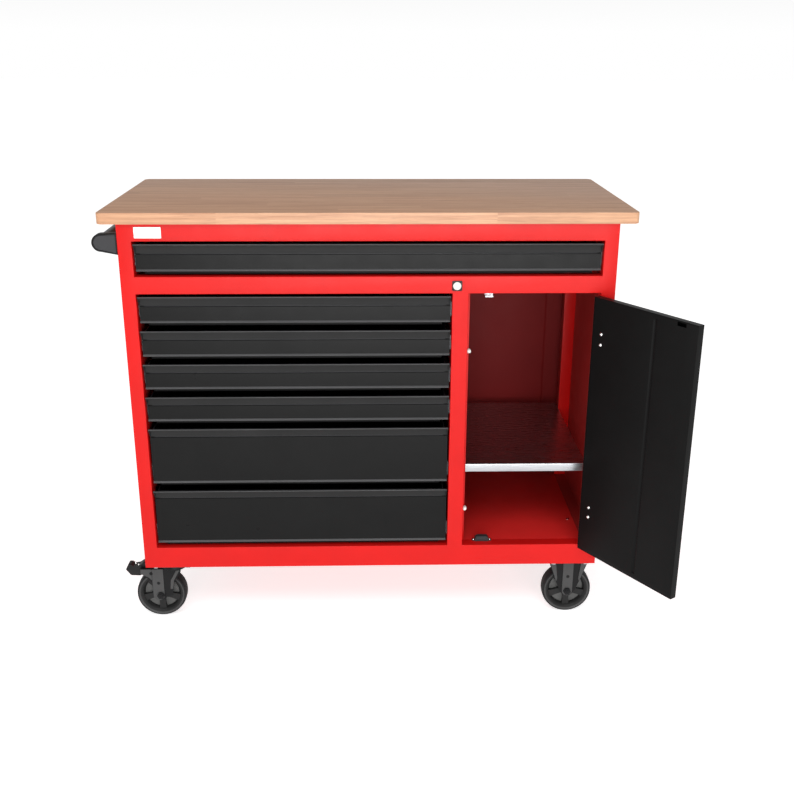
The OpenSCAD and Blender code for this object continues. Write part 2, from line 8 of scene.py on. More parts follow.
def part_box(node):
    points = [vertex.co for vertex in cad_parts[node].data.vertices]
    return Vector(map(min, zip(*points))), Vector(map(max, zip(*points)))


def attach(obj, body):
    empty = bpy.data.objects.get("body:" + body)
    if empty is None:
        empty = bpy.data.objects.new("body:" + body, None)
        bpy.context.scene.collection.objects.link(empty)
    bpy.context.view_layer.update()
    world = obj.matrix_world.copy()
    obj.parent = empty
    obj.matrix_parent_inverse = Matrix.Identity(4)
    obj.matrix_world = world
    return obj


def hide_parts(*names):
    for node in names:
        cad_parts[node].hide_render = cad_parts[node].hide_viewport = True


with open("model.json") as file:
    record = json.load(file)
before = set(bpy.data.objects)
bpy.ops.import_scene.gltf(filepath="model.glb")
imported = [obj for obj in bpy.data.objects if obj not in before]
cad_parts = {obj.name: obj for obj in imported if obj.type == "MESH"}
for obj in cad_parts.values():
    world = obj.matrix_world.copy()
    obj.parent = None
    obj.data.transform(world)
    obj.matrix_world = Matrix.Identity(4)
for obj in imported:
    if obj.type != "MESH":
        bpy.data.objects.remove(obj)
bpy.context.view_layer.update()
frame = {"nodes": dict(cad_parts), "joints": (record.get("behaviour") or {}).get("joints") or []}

scene = bpy.context.scene
joints = {j["name"]: j for j in frame["joints"]}

# where things are: millimetres in the cabinet's own frame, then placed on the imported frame

frontLow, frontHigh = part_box("front_frame")
cabinetZero = Vector(((frontLow.x + frontHigh.x) / 2, frontLow.y, frontLow.z))  # middle, front, underside
inCabinet = Matrix.Translation(cabinetZero) @ Matrix.Scale(0.001, 4)

hingeAt = Vector(joints["door_hinge"]["pos_m"])
storedAngle = math.radians(-joints["door_hinge"]["range_deg"][0])
inDoor = (Matrix.Translation(hingeAt) @ Matrix.Rotation(storedAngle, 4, "Z")
          @ Matrix.Translation(-hingeAt) @ inCabinet)


def span(node):  # a node's box in cabinet millimetres
    low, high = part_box(node)
    return (low - cabinetZero) * 1000, (high - cabinetZero) * 1000


cabLow, cabHigh = span("front_frame")
sideLow, sideHigh = span("side_panel_left")
print("frame loaded, cabinet", round(cabHigh.x - cabLow.x), "x", round(sideHigh.y), "x", round(cabHigh.z),
      "mm")

# material helpers


def newMaterial(name):
    mat = bpy.data.materials.new(name)
    mat.use_nodes = True
    tree = mat.node_tree
    tree.nodes.clear()
    shader = tree.nodes.new("ShaderNodeBsdfPrincipled")
    out = tree.nodes.new("ShaderNodeOutputMaterial")
    tree.links.new(shader.outputs[0], out.inputs[0])
    coords = tree.nodes.new("ShaderNodeTexCoord").outputs["Object"]
    return mat, tree, shader, coords


def noise(tree, coords, scale, detail=3.0, stretch=(1, 1, 1), rough=0.5):
    mapping = tree.nodes.new("ShaderNodeMapping")
    mapping.inputs["Scale"].default_value = stretch
    tex = tree.nodes.new("ShaderNodeTexNoise")
    tex.inputs["Scale"].default_value = scale
    tex.inputs["Detail"].default_value = detail
    tex.inputs["Roughness"].default_value = rough
    tree.links.new(coords, mapping.inputs[0])
    tree.links.new(mapping.outputs[0], tex.inputs["Vector"])
    return tex.outputs["Fac"]


def ramp(tree, value, stops):  # stops: (place, grey or colour)
    node = tree.nodes.new("ShaderNodeValToRGB")
    while len(node.color_ramp.elements) < len(stops):
        node.color_ramp.elements.new(0.5)
    for element, (place, tone) in zip(node.color_ramp.elements, stops):
        element.position = place
        element.color = (tone, tone, tone, 1) if isinstance(tone, (int, float)) else (*tone, 1)
    tree.links.new(value, node.inputs[0])
    return node.outputs[0]


def mixColour(tree, factor, first, second, blend="MIX"):
    node = tree.nodes.new("ShaderNodeMix")
    node.data_type = "RGBA"
    node.blend_type = blend
    for socket, value in ((node.inputs[0], factor), (node.inputs[6], first), (node.inputs[7], second)):
        if isinstance(value, (int, float)):
            socket.default_value = value
        elif isinstance(value, tuple):
            socket.default_value = (*value, 1)
        else:
            tree.links.new(value, socket)
    return node.outputs[2]


def bump(tree, shader, height, strength, distance):
    node = tree.nodes.new("ShaderNodeBump")
    node.inputs["Strength"].default_value = strength
    node.inputs["Distance"].default_value = distance
    tree.links.new(height, node.inputs["Height"])
    tree.links.new(node.outputs[0], shader.inputs["Normal"])


def srgb(red, green, blue):  # screen values 0-255 to linear
    def linear(c):
        c = c / 255
        return c / 12.92 if c <= 0.04045 else ((c + 0.055) / 1.055) ** 2.4
    return linear(red), linear(green), linear(blue)


def shade(colour, factor):
    return tuple(min(1.0, c * factor) for c in colour)


# materials

paints = {
    "redPaint": dict(colour=srgb(196, 19, 17), rough=0.34, peel=0.10, mottle=0.05, gleam=0.17),
    # a darker copy of the red paint: painted shade on the surfaces inside the cabinet
    "insideRedPaintedShade": dict(colour=srgb(150, 38, 36), rough=0.42, peel=0.10, mottle=0.06, gleam=0.12),
    # a still darker copy of the red paint: painted shade on the back wall's inner face
    "backWallRedPaintedShade": dict(colour=srgb(116, 26, 26), rough=0.5, peel=0.10, mottle=0.06, gleam=0.1),
    # a lighter copy of the red paint: painted light on the cupboard floor
    "floorRedPaintedLight": dict(colour=srgb(204, 36, 34), rough=0.42, peel=0.10, mottle=0.06, gleam=0.3),
    "charcoalPaint": dict(colour=srgb(19, 19, 19), rough=0.31, gleam=0.1),
    # a lighter copy of the drawer paint: painted light on the tilted band, which would otherwise fall darker
    "charcoalBandPaintedLight": dict(colour=srgb(40, 40, 40), rough=0.31, gleam=0.1),
    # a lighter copy of the drawer paint: painted highlight on the lip tops and foot beads
    "charcoalEdgePaintedHighlight": dict(colour=srgb(66, 66, 67), rough=0.31, gleam=0.2),
    "doorPaint": dict(colour=srgb(18, 18, 18), rough=0.36, gleam=0.05),
    "boxPaint": dict(colour=srgb(34, 34, 36), rough=0.42, gleam=0.2),
    "channelPaint": dict(colour=srgb(46, 46, 48), rough=0.5, peel=0.15, mottle=0.1, gleam=0.3),
    "casterBlack": dict(colour=srgb(20, 20, 21), rough=0.38, peel=0.1, mottle=0.1, gleam=0.14),
    "casterSteel": dict(colour=srgb(62, 62, 62), rough=0.36, peel=0.1, mottle=0.1, gleam=0.25),
}


def powderCoat(name, colour, rough, gleam, peel=0.12, mottle=0.08):
    mat, tree, shader, coords = newMaterial(name)
    shader.inputs["Specular IOR Level"].default_value = gleam
    cloud = noise(tree, coords, 9, 4)
    tone = ramp(tree, cloud, [(0.3, shade(colour, 1 - mottle)), (0.7, shade(colour, 1 + mottle))])
    grain = noise(tree, coords, 1400, 2)
    speck = ramp(tree, grain, [(0.35, 0.93), (0.65, 1.0)])
    tree.links.new(mixColour(tree, 1.0, tone, speck, "MULTIPLY"), shader.inputs["Base Color"])
    gloss = ramp(tree, noise(tree, coords, 26, 5), [(0.25, rough - 0.04), (0.8, rough + 0.06)])
    tree.links.new(gloss, shader.inputs["Roughness"])
    bump(tree, shader, noise(tree, coords, 520, 2), peel, 0.0006)
    return mat


metals = {
    "zincShelf": dict(colour=(0.44, 0.45, 0.47), rough=0.28, along=(2, 40, 40), depth=0.05),
    "zincPlate": dict(colour=(0.52, 0.53, 0.55), rough=0.32, along=(30, 30, 30), depth=0.08),
    "railSteel": dict(colour=(0.20, 0.20, 0.21), rough=0.42, along=(30, 4, 30), depth=0.08),
    "steelPin": dict(colour=(0.45, 0.45, 0.46), rough=0.28, along=(60, 60, 4), depth=0.08),
    "brightScrew": dict(colour=(0.85, 0.85, 0.84), rough=0.14, along=(40, 40, 40), depth=0.03),
    "nickelLock": dict(colour=(0.72, 0.71, 0.68), rough=0.22, along=(60, 60, 60), depth=0.04),
}


def platedMetal(name, colour, rough, along, depth):
    mat, tree, shader, coords = newMaterial(name)
    shader.inputs["Metallic"].default_value = 1.0
    streak = noise(tree, coords, 14, 6, along, 0.6)
    tone = ramp(tree, streak, [(0.3, shade(colour, 0.88)), (0.7, shade(colour, 1.06))])
    tree.links.new(tone, shader.inputs["Base Color"])
    gloss = ramp(tree, streak, [(0.25, rough - 0.06), (0.8, rough + 0.1)])
    tree.links.new(gloss, shader.inputs["Roughness"])
    bump(tree, shader, noise(tree, coords, 900, 2), depth, 0.0003)
    return mat


plastics = {
    "handlePlastic": dict(colour=srgb(12, 12, 13), rough=0.46, grain=1100, depth=0.22),
    "pedalPlastic": dict(colour=srgb(22, 22, 23), rough=0.40, grain=900, depth=0.15),
    "catchPlastic": dict(colour=srgb(26, 26, 27), rough=0.48, grain=1200, depth=0.15),
    "bezelPlastic": dict(colour=srgb(34, 28, 28), rough=0.36, grain=1200, depth=0.1),
    "wheelDark": dict(colour=srgb(28, 28, 28), rough=0.46, grain=800, depth=0.18),
    # a lighter copy of the wheel plastic: painted highlight on the tyres' side bands
    "wheelGreyPaintedHighlight": dict(colour=srgb(62, 62, 62), rough=0.46, grain=800, depth=0.18),
    # a paler copy of the wheel plastic: painted light on the web between the spokes
    "wheelPalePaintedLight": dict(colour=srgb(84, 84, 83), rough=0.5, grain=800, depth=0.18),
    "tyreRubber": dict(colour=srgb(24, 24, 25), rough=0.66, grain=700, depth=0.3),
    "whiteBuffer": dict(colour=srgb(236, 236, 232), rough=0.5, grain=900, depth=0.1),
    "capNickel": dict(colour=srgb(212, 208, 202), rough=0.24, grain=1100, depth=0.03, gleam=0.6),
    "tubeGrey": dict(colour=srgb(50, 50, 51), rough=0.34, grain=900, depth=0.08),
    "bracketFace": dict(colour=srgb(50, 50, 52), rough=0.44, grain=1100, depth=0.15),
}


def mouldedPlastic(name, colour, rough, grain, depth, gleam=0.2):
    mat, tree, shader, coords = newMaterial(name)
    shader.inputs["Specular IOR Level"].default_value = gleam
    cloud = noise(tree, coords, 40, 4)
    tone = ramp(tree, cloud, [(0.3, shade(colour, 0.88)), (0.7, shade(colour, 1.1))])
    tree.links.new(tone, shader.inputs["Base Color"])
    tree.links.new(ramp(tree, cloud, [(0.2, rough - 0.05), (0.8, rough + 0.07)]), shader.inputs["Roughness"])
    bump(tree, shader, noise(tree, coords, grain, 3), depth, 0.0004)
    return mat


wood = dict(pale=srgb(206, 160, 124), mid=srgb(188, 140, 106), dark=srgb(160, 112, 80),
            stave=0.046, staveShade=0.10, rough=0.42)


def staveWood(name):
    mat, tree, shader, coords = newMaterial(name)
    split = tree.nodes.new("ShaderNodeSeparateXYZ")
    tree.links.new(coords, split.inputs[0])

    def maths(operation, first, second=None):
        node = tree.nodes.new("ShaderNodeMath")
        node.operation = operation
        for socket, value in zip(node.inputs, (first, second)):
            if isinstance(value, (int, float)):
                socket.default_value = value
            elif value is not None:
                tree.links.new(value, socket)
        return node.outputs[0]

    row = maths("FLOOR", maths("DIVIDE", split.outputs["Y"], wood["stave"]))
    shift = maths("MULTIPLY", maths("FRACT", maths("MULTIPLY", row, 0.618)), 0.7)
    block = maths("FLOOR", maths("DIVIDE", maths("ADD", split.outputs["X"], shift), 0.62))
    pick = tree.nodes.new("ShaderNodeTexWhiteNoise")
    pick.noise_dimensions = "2D"
    joined = tree.nodes.new("ShaderNodeCombineXYZ")
    tree.links.new(row, joined.inputs[0])
    tree.links.new(block, joined.inputs[1])
    tree.links.new(joined.outputs[0], pick.inputs["Vector"])
    stave = pick.outputs["Value"]

    offset = tree.nodes.new("ShaderNodeCombineXYZ")
    tree.links.new(maths("MULTIPLY", stave, 3.0), offset.inputs[0])
    tree.links.new(maths("MULTIPLY", stave, 5.0), offset.inputs[1])
    moved = tree.nodes.new("ShaderNodeVectorMath")
    moved.operation = "ADD"
    tree.links.new(coords, moved.inputs[0])
    tree.links.new(offset.outputs[0], moved.inputs[1])
    fibres = noise(tree, moved.outputs[0], 6, 8, (0.5, 22, 22), 0.62)
    fine = noise(tree, moved.outputs[0], 60, 4, (0.35, 12, 12), 0.6)
    pores = noise(tree, moved.outputs[0], 260, 2, (0.12, 3.0, 3.0), 0.5)

    grain = ramp(tree, fibres, [(0.28, wood["dark"]), (0.47, wood["mid"]), (0.7, wood["pale"])])
    lines = ramp(tree, fine, [(0.35, 0.86), (0.6, 1.0)])
    dots = ramp(tree, pores, [(0.30, 0.72), (0.40, 1.0)])
    toned = ramp(tree, stave, [(0.0, 1 - wood["staveShade"]), (1.0, 1.0)])
    colour = mixColour(tree, 1.0, grain, lines, "MULTIPLY")
    colour = mixColour(tree, 0.6, colour, dots, "MULTIPLY")
    colour = mixColour(tree, 1.0, colour, toned, "MULTIPLY")
    tree.links.new(colour, shader.inputs["Base Color"])
    gloss = ramp(tree, fine, [(0.2, wood["rough"] + 0.1), (0.8, wood["rough"] - 0.04)])
    tree.links.new(gloss, shader.inputs["Roughness"])
    bump(tree, shader, fine, 0.12, 0.0004)
    return mat


mats = {name: powderCoat(name, **settings) for name, settings in paints.items()}
mats.update({name: platedMetal(name, **settings) for name, settings in metals.items()})
mats.update({name: mouldedPlastic(name, **settings) for name, settings in plastics.items()})
mats["beech"] = staveWood("beech")
print("materials made:", len(mats))

# mesh helpers: outlines are in millimetres


def rounded(points, radii, steps=4, closed=False):  # swaps corners for arcs
    out = []
    for i, point in enumerate(points):
        radius = radii[i] if isinstance(radii, (list, tuple)) else radii
        here = Vector(point)
        if radius <= 0 or (not closed and i in (0, len(points) - 1)):
            out.append(tuple(here))
            continue
        before = Vector(points[i - 1]) - here
        after = Vector(points[(i + 1) % len(points)]) - here
        turn = before.angle(after)
        reach = min(radius / math.tan(turn / 2), before.length * 0.49, after.length * 0.49)
        bend = reach * math.tan(turn / 2)
        side = 1 if before.x * after.y - before.y * after.x < 0 else -1
        before.normalize()
        after.normalize()
        centre = here + (before + after).normalized() * (bend / math.sin(turn / 2))
        start = here + before * reach - centre
        for k in range(steps + 1):
            angle = side * (math.pi - turn) * k / steps
            out.append((centre.x + start.x * math.cos(angle) - start.y * math.sin(angle),
                        centre.y + start.x * math.sin(angle) + start.y * math.cos(angle)))
    return out


def rectangle(x0, z0, x1, z1, radius=0.0):
    corners = [(x0, z0), (x1, z0), (x1, z1), (x0, z1)]
    return rounded(corners, radius, 5, closed=True) if radius else corners


def circle(x, z, radius, count=48):
    return [(x + radius * math.cos(2 * math.pi * k / count), z + radius * math.sin(2 * math.pi * k / count))
            for k in range(count)]


def arc(x, z, radius, start, sweep, steps):  # degrees
    turns = [math.radians(start + sweep * k / steps) for k in range(steps + 1)]
    return [(x + radius * math.cos(t), z + radius * math.sin(t)) for t in turns]


def hexagon(x, z, radius):
    return arc(x, z, radius, 0, 360, 6)[:-1]


def tube(inner, outer, low, high):  # a lathe profile
    return [(inner, low), (outer, low), (outer, high), (inner, high)]


def sheetOutline(path, thickness):  # a bent strip's closed outline, with the thickness on its left
    left = []
    for i, point in enumerate(path):
        ways = [(Vector(path[k + 1]) - Vector(path[k])).normalized()
                for k in (i - 1, i) if 0 <= k < len(path) - 1]
        way = sum(ways, Vector((0, 0))).normalized()
        stretch = 1 / max(0.3, way.dot(ways[0]))
        left.append(tuple(Vector(point) + Vector((-way.y, way.x)) * thickness * stretch))
    return list(path) + left[::-1]


axisMaps = {"x": lambda a, b, c: (c, a, b), "y": lambda a, b, c: (a, c, b), "z": lambda a, b, c: (a, b, c)}


def extrude(bm, outline, axis, low, high):  # closed outline, with both ends filled
    place = axisMaps[axis]
    rings = [[bm.verts.new(place(a, b, level)) for a, b in outline] for level in (low, high)]
    count = len(outline)
    for i in range(count):
        j = (i + 1) % count
        bm.faces.new((rings[0][i], rings[0][j], rings[1][j], rings[1][i]))
    bm.faces.new(rings[0][::-1])
    bm.faces.new(rings[1])


def lathe(bm, profile, centre=(0, 0, 0), axis="y", segments=48):  # profile: (radius, along)
    rings = []
    for k in range(segments):
        angle = 2 * math.pi * k / segments
        ring = []
        for radius, along in profile:
            spot = axisMaps[axis](radius * math.cos(angle), radius * math.sin(angle), along)
            ring.append(bm.verts.new(Vector(spot) + Vector(centre)))
        rings.append(ring)
    for k in range(segments):
        after = rings[(k + 1) % segments]
        for i in range(len(profile)):
            j = (i + 1) % len(profile)
            bm.faces.new((rings[k][i], rings[k][j], after[j], after[i]))


def block(bm, low, high, bevel=0.0, segments=2):
    low, high = Vector(low), Vector(high)
    made = bmesh.ops.create_cube(bm, size=1.0)["verts"]
    for v in made:
        v.co = Vector([low[k] + (v.co[k] + 0.5) * (high[k] - low[k]) for k in range(3)])
    if bevel:
        edges = list({e for v in made for e in v.link_edges})
        bevelEdges(bm, edges, bevel, segments)


def paintNew(bm, index):  # gives everything added since the last call one of the piece's materials
    for face in bm.faces:
        if not face.tag:
            face.material_index = index
            face.tag = True


def addObject(name, data):
    piece = bpy.data.objects.new(name, data)
    scene.collection.objects.link(piece)
    return piece


def meshOf(name, bm):  # uses the bmesh up
    mesh = bpy.data.meshes.new(name)
    bm.to_mesh(mesh)
    bm.free()
    return mesh


def bevelEdges(bm, edges, width, segments=2):
    bmesh.ops.bevel(bm, geom=edges, offset=width, segments=segments, profile=0.5, affect="EDGES")


def bakeModifiers(piece):
    depsgraph = bpy.context.evaluated_depsgraph_get()
    baked = bpy.data.meshes.new_from_object(piece.evaluated_get(depsgraph))
    piece.modifiers.clear()
    piece.data = baked


def makePiece(name, bm, place, materials, body, slot, replaces=(), smooth=35, wall=0.0, bevel=0.0,
              cutters=None):
    bmesh.ops.remove_doubles(bm, verts=bm.verts, dist=0.0005)
    bmesh.ops.recalc_face_normals(bm, faces=bm.faces)
    if wall:  # open sheets: the shown side is the one at the front of the biggest face
        biggest = max(bm.faces, key=lambda f: f.calc_area())
        if biggest.normal.y > 0:
            bmesh.ops.reverse_faces(bm, faces=bm.faces)
    mesh = meshOf(name, bm)
    piece = addObject(name, mesh)
    for mat in materials:
        mesh.materials.append(mats[mat])
    if wall:
        layer = piece.modifiers.new("wall", "SOLIDIFY")
        layer.thickness = wall
        layer.offset = -1
        layer.use_even_offset = True
        bakeModifiers(piece)
    if cutters:
        bmesh.ops.recalc_face_normals(cutters, faces=cutters.faces)
        tool = addObject("cutter", meshOf("cutter", cutters))
        cut = piece.modifiers.new("cut", "BOOLEAN")
        cut.operation = "DIFFERENCE"
        cut.solver = "EXACT"
        cut.use_self = True
        cut.object = tool
        bakeModifiers(piece)
        bpy.data.objects.remove(tool)
    if bevel:
        edge = piece.modifiers.new("edges", "BEVEL")
        edge.width = bevel
        edge.segments = 2
        edge.limit_method = "ANGLE"
        edge.angle_limit = math.radians(38)
        bakeModifiers(piece)
    finishPiece(piece, place, body, replaces, smooth)
    return piece


def makeFixed(name, bm, materials, slot, replaces=(), smooth=35, **more):  # drawn in the cabinet's frame
    return makePiece(name, bm, inCabinet, materials, "root", slot, replaces, smooth, **more)


def finishPiece(piece, place, body, replaces, smooth=35):
    piece.data.transform(place)
    if place.determinant() < 0:
        piece.data.flip_normals()
    for polygon in piece.data.polygons:
        polygon.use_smooth = True
    piece.data.set_sharp_from_angle(angle=math.radians(smooth))
    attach(piece, body)
    if replaces:
        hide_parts(*replaces)


def rectLoop(bm, rect, grow, y, xs=(), zs=()):  # a rectangle of points grown by a margin, cut at xs and zs
    x0, z0, x1, z1 = rect
    across = sorted({x0, x1} | {x for x in xs if x0 < x < x1})
    up = sorted({z0, z1} | {z for z in zs if z0 < z < z1})
    shiftX = {x0: x0 - grow, x1: x1 + grow}
    shiftZ = {z0: z0 - grow, z1: z1 + grow}
    spots = [(x, z0) for x in across] + [(x1, z) for z in up[1:]]
    spots += [(x, z1) for x in across[-2::-1]] + [(x0, z) for z in up[-2:0:-1]]
    return [bm.verts.new((shiftX.get(x, x), y, shiftZ.get(z, z))) for x, z in spots]


def bridge(bm, loops):
    for first, second in zip(loops, loops[1:]):
        for i in range(len(first)):
            j = (i + 1) % len(first)
            bm.faces.new((first[i], first[j], second[j], second[i]))


def foldSteps(radius, depth, steps=5):  # (margin, depth) pairs round a fold and down its flange
    turns = [math.pi / 2 * k / steps for k in range(steps + 1)]
    return [(radius * (1 - math.sin(t)), radius * (1 - math.cos(t))) for t in turns] + [(0.0, depth)]


def pressSteps(slope, depth, steps=6):  # (margin, depth) pairs down a soft pressed edge
    return [(-slope * k / steps, depth * (1 - math.cos(math.pi * k / steps)) / 2) for k in range(steps + 1)]


def sheetPlate(bm, outer, outerSteps, holes):  # a plate at y = 0 with folded edges, openings and pressings
    first = outerSteps[0][0]
    rim = (outer[0] + first, outer[1] + first, outer[2] - first, outer[3] - first)
    grown = [tuple(r[k] + (-1 if k < 2 else 1) * steps[0][0] for k in range(4)) for r, steps, sunk in holes]
    xs = sorted({x for r in grown + [rim] for x in (r[0], r[2])})
    zs = sorted({z for r in grown + [rim] for z in (r[1], r[3])})
    spots = {(x, z): bm.verts.new((x, 0, z)) for x in xs for z in zs}
    for x0, x1 in zip(xs, xs[1:]):
        for z0, z1 in zip(zs, zs[1:]):
            mid = ((x0 + x1) / 2, (z0 + z1) / 2)
            if not any(r[0] < mid[0] < r[2] and r[1] < mid[1] < r[3] for r in grown):
                bm.faces.new((spots[x0, z0], spots[x1, z0], spots[x1, z1], spots[x0, z1]))
    for (rect, steps, sunk), base in zip(holes, grown):
        cutX = [x for x in xs if base[0] < x < base[2]]
        cutZ = [z for z in zs if base[1] < z < base[3]]
        loops = [rectLoop(bm, rect, grow, depth, cutX, cutZ) for grow, depth in steps]
        bridge(bm, loops)
        if sunk:
            bm.faces.new(loops[-1])
    bridge(bm, [rectLoop(bm, outer, -grow, depth, xs[1:-1], zs[1:-1]) for grow, depth in outerSteps])
    for v in [v for v in bm.verts if not v.link_faces]:
        bm.verts.remove(v)


# geometry nodes trees for repeated pieces


def nodeTree(name, inputs):  # a new tree with its sockets, and the nodes at both ends
    tree = bpy.data.node_groups.new(name, "GeometryNodeTree")
    tree.interface.new_socket("Geometry", in_out="INPUT", socket_type="NodeSocketGeometry")
    for label, kind, value in inputs:
        socket = tree.interface.new_socket(label, in_out="INPUT", socket_type=kind)
        if value is not None:
            socket.default_value = value
    tree.interface.new_socket("Geometry", in_out="OUTPUT", socket_type="NodeSocketGeometry")
    return tree, tree.nodes.new("NodeGroupInput"), tree.nodes.new("NodeGroupOutput")


def endTree(tree, start, end, instances):  # realises the instances and gives them the material input
    real = tree.nodes.new("GeometryNodeRealizeInstances")
    paint = tree.nodes.new("GeometryNodeSetMaterial")
    tree.links.new(instances, real.inputs[0])
    tree.links.new(real.outputs[0], paint.inputs["Geometry"])
    tree.links.new(start.outputs["Material"], paint.inputs["Material"])
    tree.links.new(paint.outputs[0], end.inputs[0])
    return tree


def spokeTree():  # copies turned evenly about Y
    tree, start, end = nodeTree("spokes", [
        ("Count", "NodeSocketInt", 5), ("First Angle", "NodeSocketFloat", 0.0),
        ("Material", "NodeSocketMaterial", None)])
    points = tree.nodes.new("GeometryNodePoints")
    spread = tree.nodes.new("GeometryNodeInstanceOnPoints")
    turn = tree.nodes.new("GeometryNodeRotateInstances")
    index = tree.nodes.new("GeometryNodeInputIndex")
    step = tree.nodes.new("ShaderNodeMath")
    step.operation = "DIVIDE"
    step.inputs[0].default_value = 2 * math.pi
    scaled = tree.nodes.new("ShaderNodeMath")
    scaled.operation = "MULTIPLY_ADD"
    angles = tree.nodes.new("ShaderNodeCombineXYZ")
    link = tree.links.new
    link(start.outputs["Count"], points.inputs["Count"])
    link(start.outputs["Count"], step.inputs[1])
    link(index.outputs[0], scaled.inputs[0])
    link(step.outputs[0], scaled.inputs[1])
    link(start.outputs["First Angle"], scaled.inputs[2])
    link(scaled.outputs[0], angles.inputs["Y"])
    link(points.outputs[0], spread.inputs["Points"])
    link(start.outputs["Geometry"], spread.inputs["Instance"])
    link(spread.outputs[0], turn.inputs["Instances"])
    link(angles.outputs[0], turn.inputs["Rotation"])
    turn.inputs["Local Space"].default_value = False
    return endTree(tree, start, end, turn.outputs[0])


def gridTree():  # copies on a flat grid
    tree, start, end = nodeTree("grid", [
        ("Size X", "NodeSocketFloat", 1.0), ("Size Y", "NodeSocketFloat", 1.0),
        ("Count X", "NodeSocketInt", 2), ("Count Y", "NodeSocketInt", 2),
        ("Material", "NodeSocketMaterial", None)])
    grid = tree.nodes.new("GeometryNodeMeshGrid")
    spread = tree.nodes.new("GeometryNodeInstanceOnPoints")
    for source, target in (("Size X", "Size X"), ("Size Y", "Size Y"), ("Count X", "Vertices X"),
                           ("Count Y", "Vertices Y")):
        tree.links.new(start.outputs[source], grid.inputs[target])
    tree.links.new(grid.outputs[0], spread.inputs["Points"])
    tree.links.new(start.outputs["Geometry"], spread.inputs["Instance"])
    return endTree(tree, start, end, spread.outputs[0])


trees = {"spokes": spokeTree(), "grid": gridTree()}


def repeated(bm, kind, material, **values):  # one item's mesh, copied by a tree and baked
    bmesh.ops.recalc_face_normals(bm, faces=bm.faces)
    item = addObject("item", meshOf("item", bm))
    copies = item.modifiers.new("copies", "NODES")
    copies.node_group = trees[kind]
    for socket in trees[kind].interface.items_tree:
        if socket.in_out == "INPUT" and socket.name in values:
            copies[socket.identifier] = values[socket.name]
        elif socket.in_out == "INPUT" and socket.name == "Material":
            copies[socket.identifier] = mats[material]
    bakeModifiers(item)
    return item


def join(name, parts, place, body, replaces=(), smooth=35):  # several baked items as one piece
    bm = bmesh.new()
    materials = []
    for part, offset in parts:
        part.data.transform(Matrix.Translation(offset))
        shift = {}
        for i, mat in enumerate(part.data.materials):
            if mat not in materials:
                materials.append(mat)
            shift[i] = materials.index(mat)
        for polygon in part.data.polygons:
            polygon.material_index = shift[polygon.material_index]
        bm.from_mesh(part.data)
        part.data.transform(Matrix.Translation(-Vector(offset)))
    mesh = meshOf(name, bm)
    piece = addObject(name, mesh)
    for mat in materials:
        mesh.materials.append(mat)
    for part in {part for part, offset in parts}:
        bpy.data.objects.remove(part)
    finishPiece(piece, place, body, replaces, smooth)
    return piece


# worktop

top = dict(corner=9, edge=2.2, segments=4)


def makeWorktop():
    low, high = span("worktop")
    bm = bmesh.new()
    extrude(bm, rectangle(low.x, low.y, high.x, high.y, top["corner"]), "z", low.z, high.z)
    rims = [e for e in bm.edges if abs(e.verts[0].co.z - e.verts[1].co.z) < 0.01]
    bevelEdges(bm, rims, top["edge"], top["segments"])
    makeFixed("worktop_board", bm, ["beech"], "beech", ["worktop"], 30)


makeWorktop()

# pressed steel shell

shell = dict(sheet=1.2, fold=1.5, outerFold=1.6, seamY=17.0, returnY=30.0, stopWide=6, tab=16, rib=3.0,
             lockHole=9.2, halfWide=560.0, postIn=528, postDeep=40, postLow=55, ribEnd=120)
openGap = dict(side=4, above=5, below=11)  # a drawer front's gaps in its opening
drawerBoxes = {i: span(f"drawer_{i}_front") for i in range(1, 8)}
lockAt = (Vector(joints["lock_turn"]["pos_m"]) - cabinetZero) * 1000
barLow, barHigh = span("lock_bar")
barTravel = joints["lock_bar_slide"]["range_m"][1] * 1000


def openingOf(first, last):
    return (first[0].x - openGap["side"], first[0].z - openGap["below"], last[1].x + openGap["side"],
            last[1].z + openGap["above"])


lowStack = openingOf(drawerBoxes[1], drawerBoxes[6])
topOpen = openingOf(drawerBoxes[7], drawerBoxes[7])
wallLow, wallHigh = span("partition_panel")
cupOpen = (wallHigh.x, lowStack[1], topOpen[2], lowStack[3])


def makeFrontFrame():
    bm = bmesh.new()
    inner = foldSteps(shell["fold"], shell["returnY"])
    sheetPlate(bm, (cabLow.x, cabLow.z, cabHigh.x, cabHigh.z), foldSteps(shell["outerFold"], shell["seamY"]),
               [(rect, inner, False) for rect in (lowStack, cupOpen, topOpen)])
    cutters = bmesh.new()
    extrude(cutters, circle(lockAt.x, lockAt.z, shell["lockHole"]), "y", -2, 6)
    block(cutters, (barLow.x + 80 - 1, barLow.y + 11.6, cupOpen[3] - 2),
          (barHigh.x + barTravel + 1, barHigh.y + 1, cupOpen[3] + 3))
    makeFixed("front_frame_pressed", bm, ["redPaint"], "red_paint", ["front_frame"], 30,
              wall=shell["sheet"], cutters=cutters)
    bm = bmesh.new()
    block(bm, (cupOpen[0] - 0.6, shell["returnY"] - shell["sheet"], cupOpen[1]),
          (cupOpen[0] + shell["stopWide"], shell["returnY"], cupOpen[3]), 0.4)
    makeFixed("door_stop_flange", bm, ["redPaint"], "red_paint")


def paintInsideShade(piece, inward):  # gives the faces that look into the cabinet the second material, a darker red that is painted shade
    for face in piece.data.polygons:
        if face.normal.dot(inward) > 0.6:
            face.material_index = 1


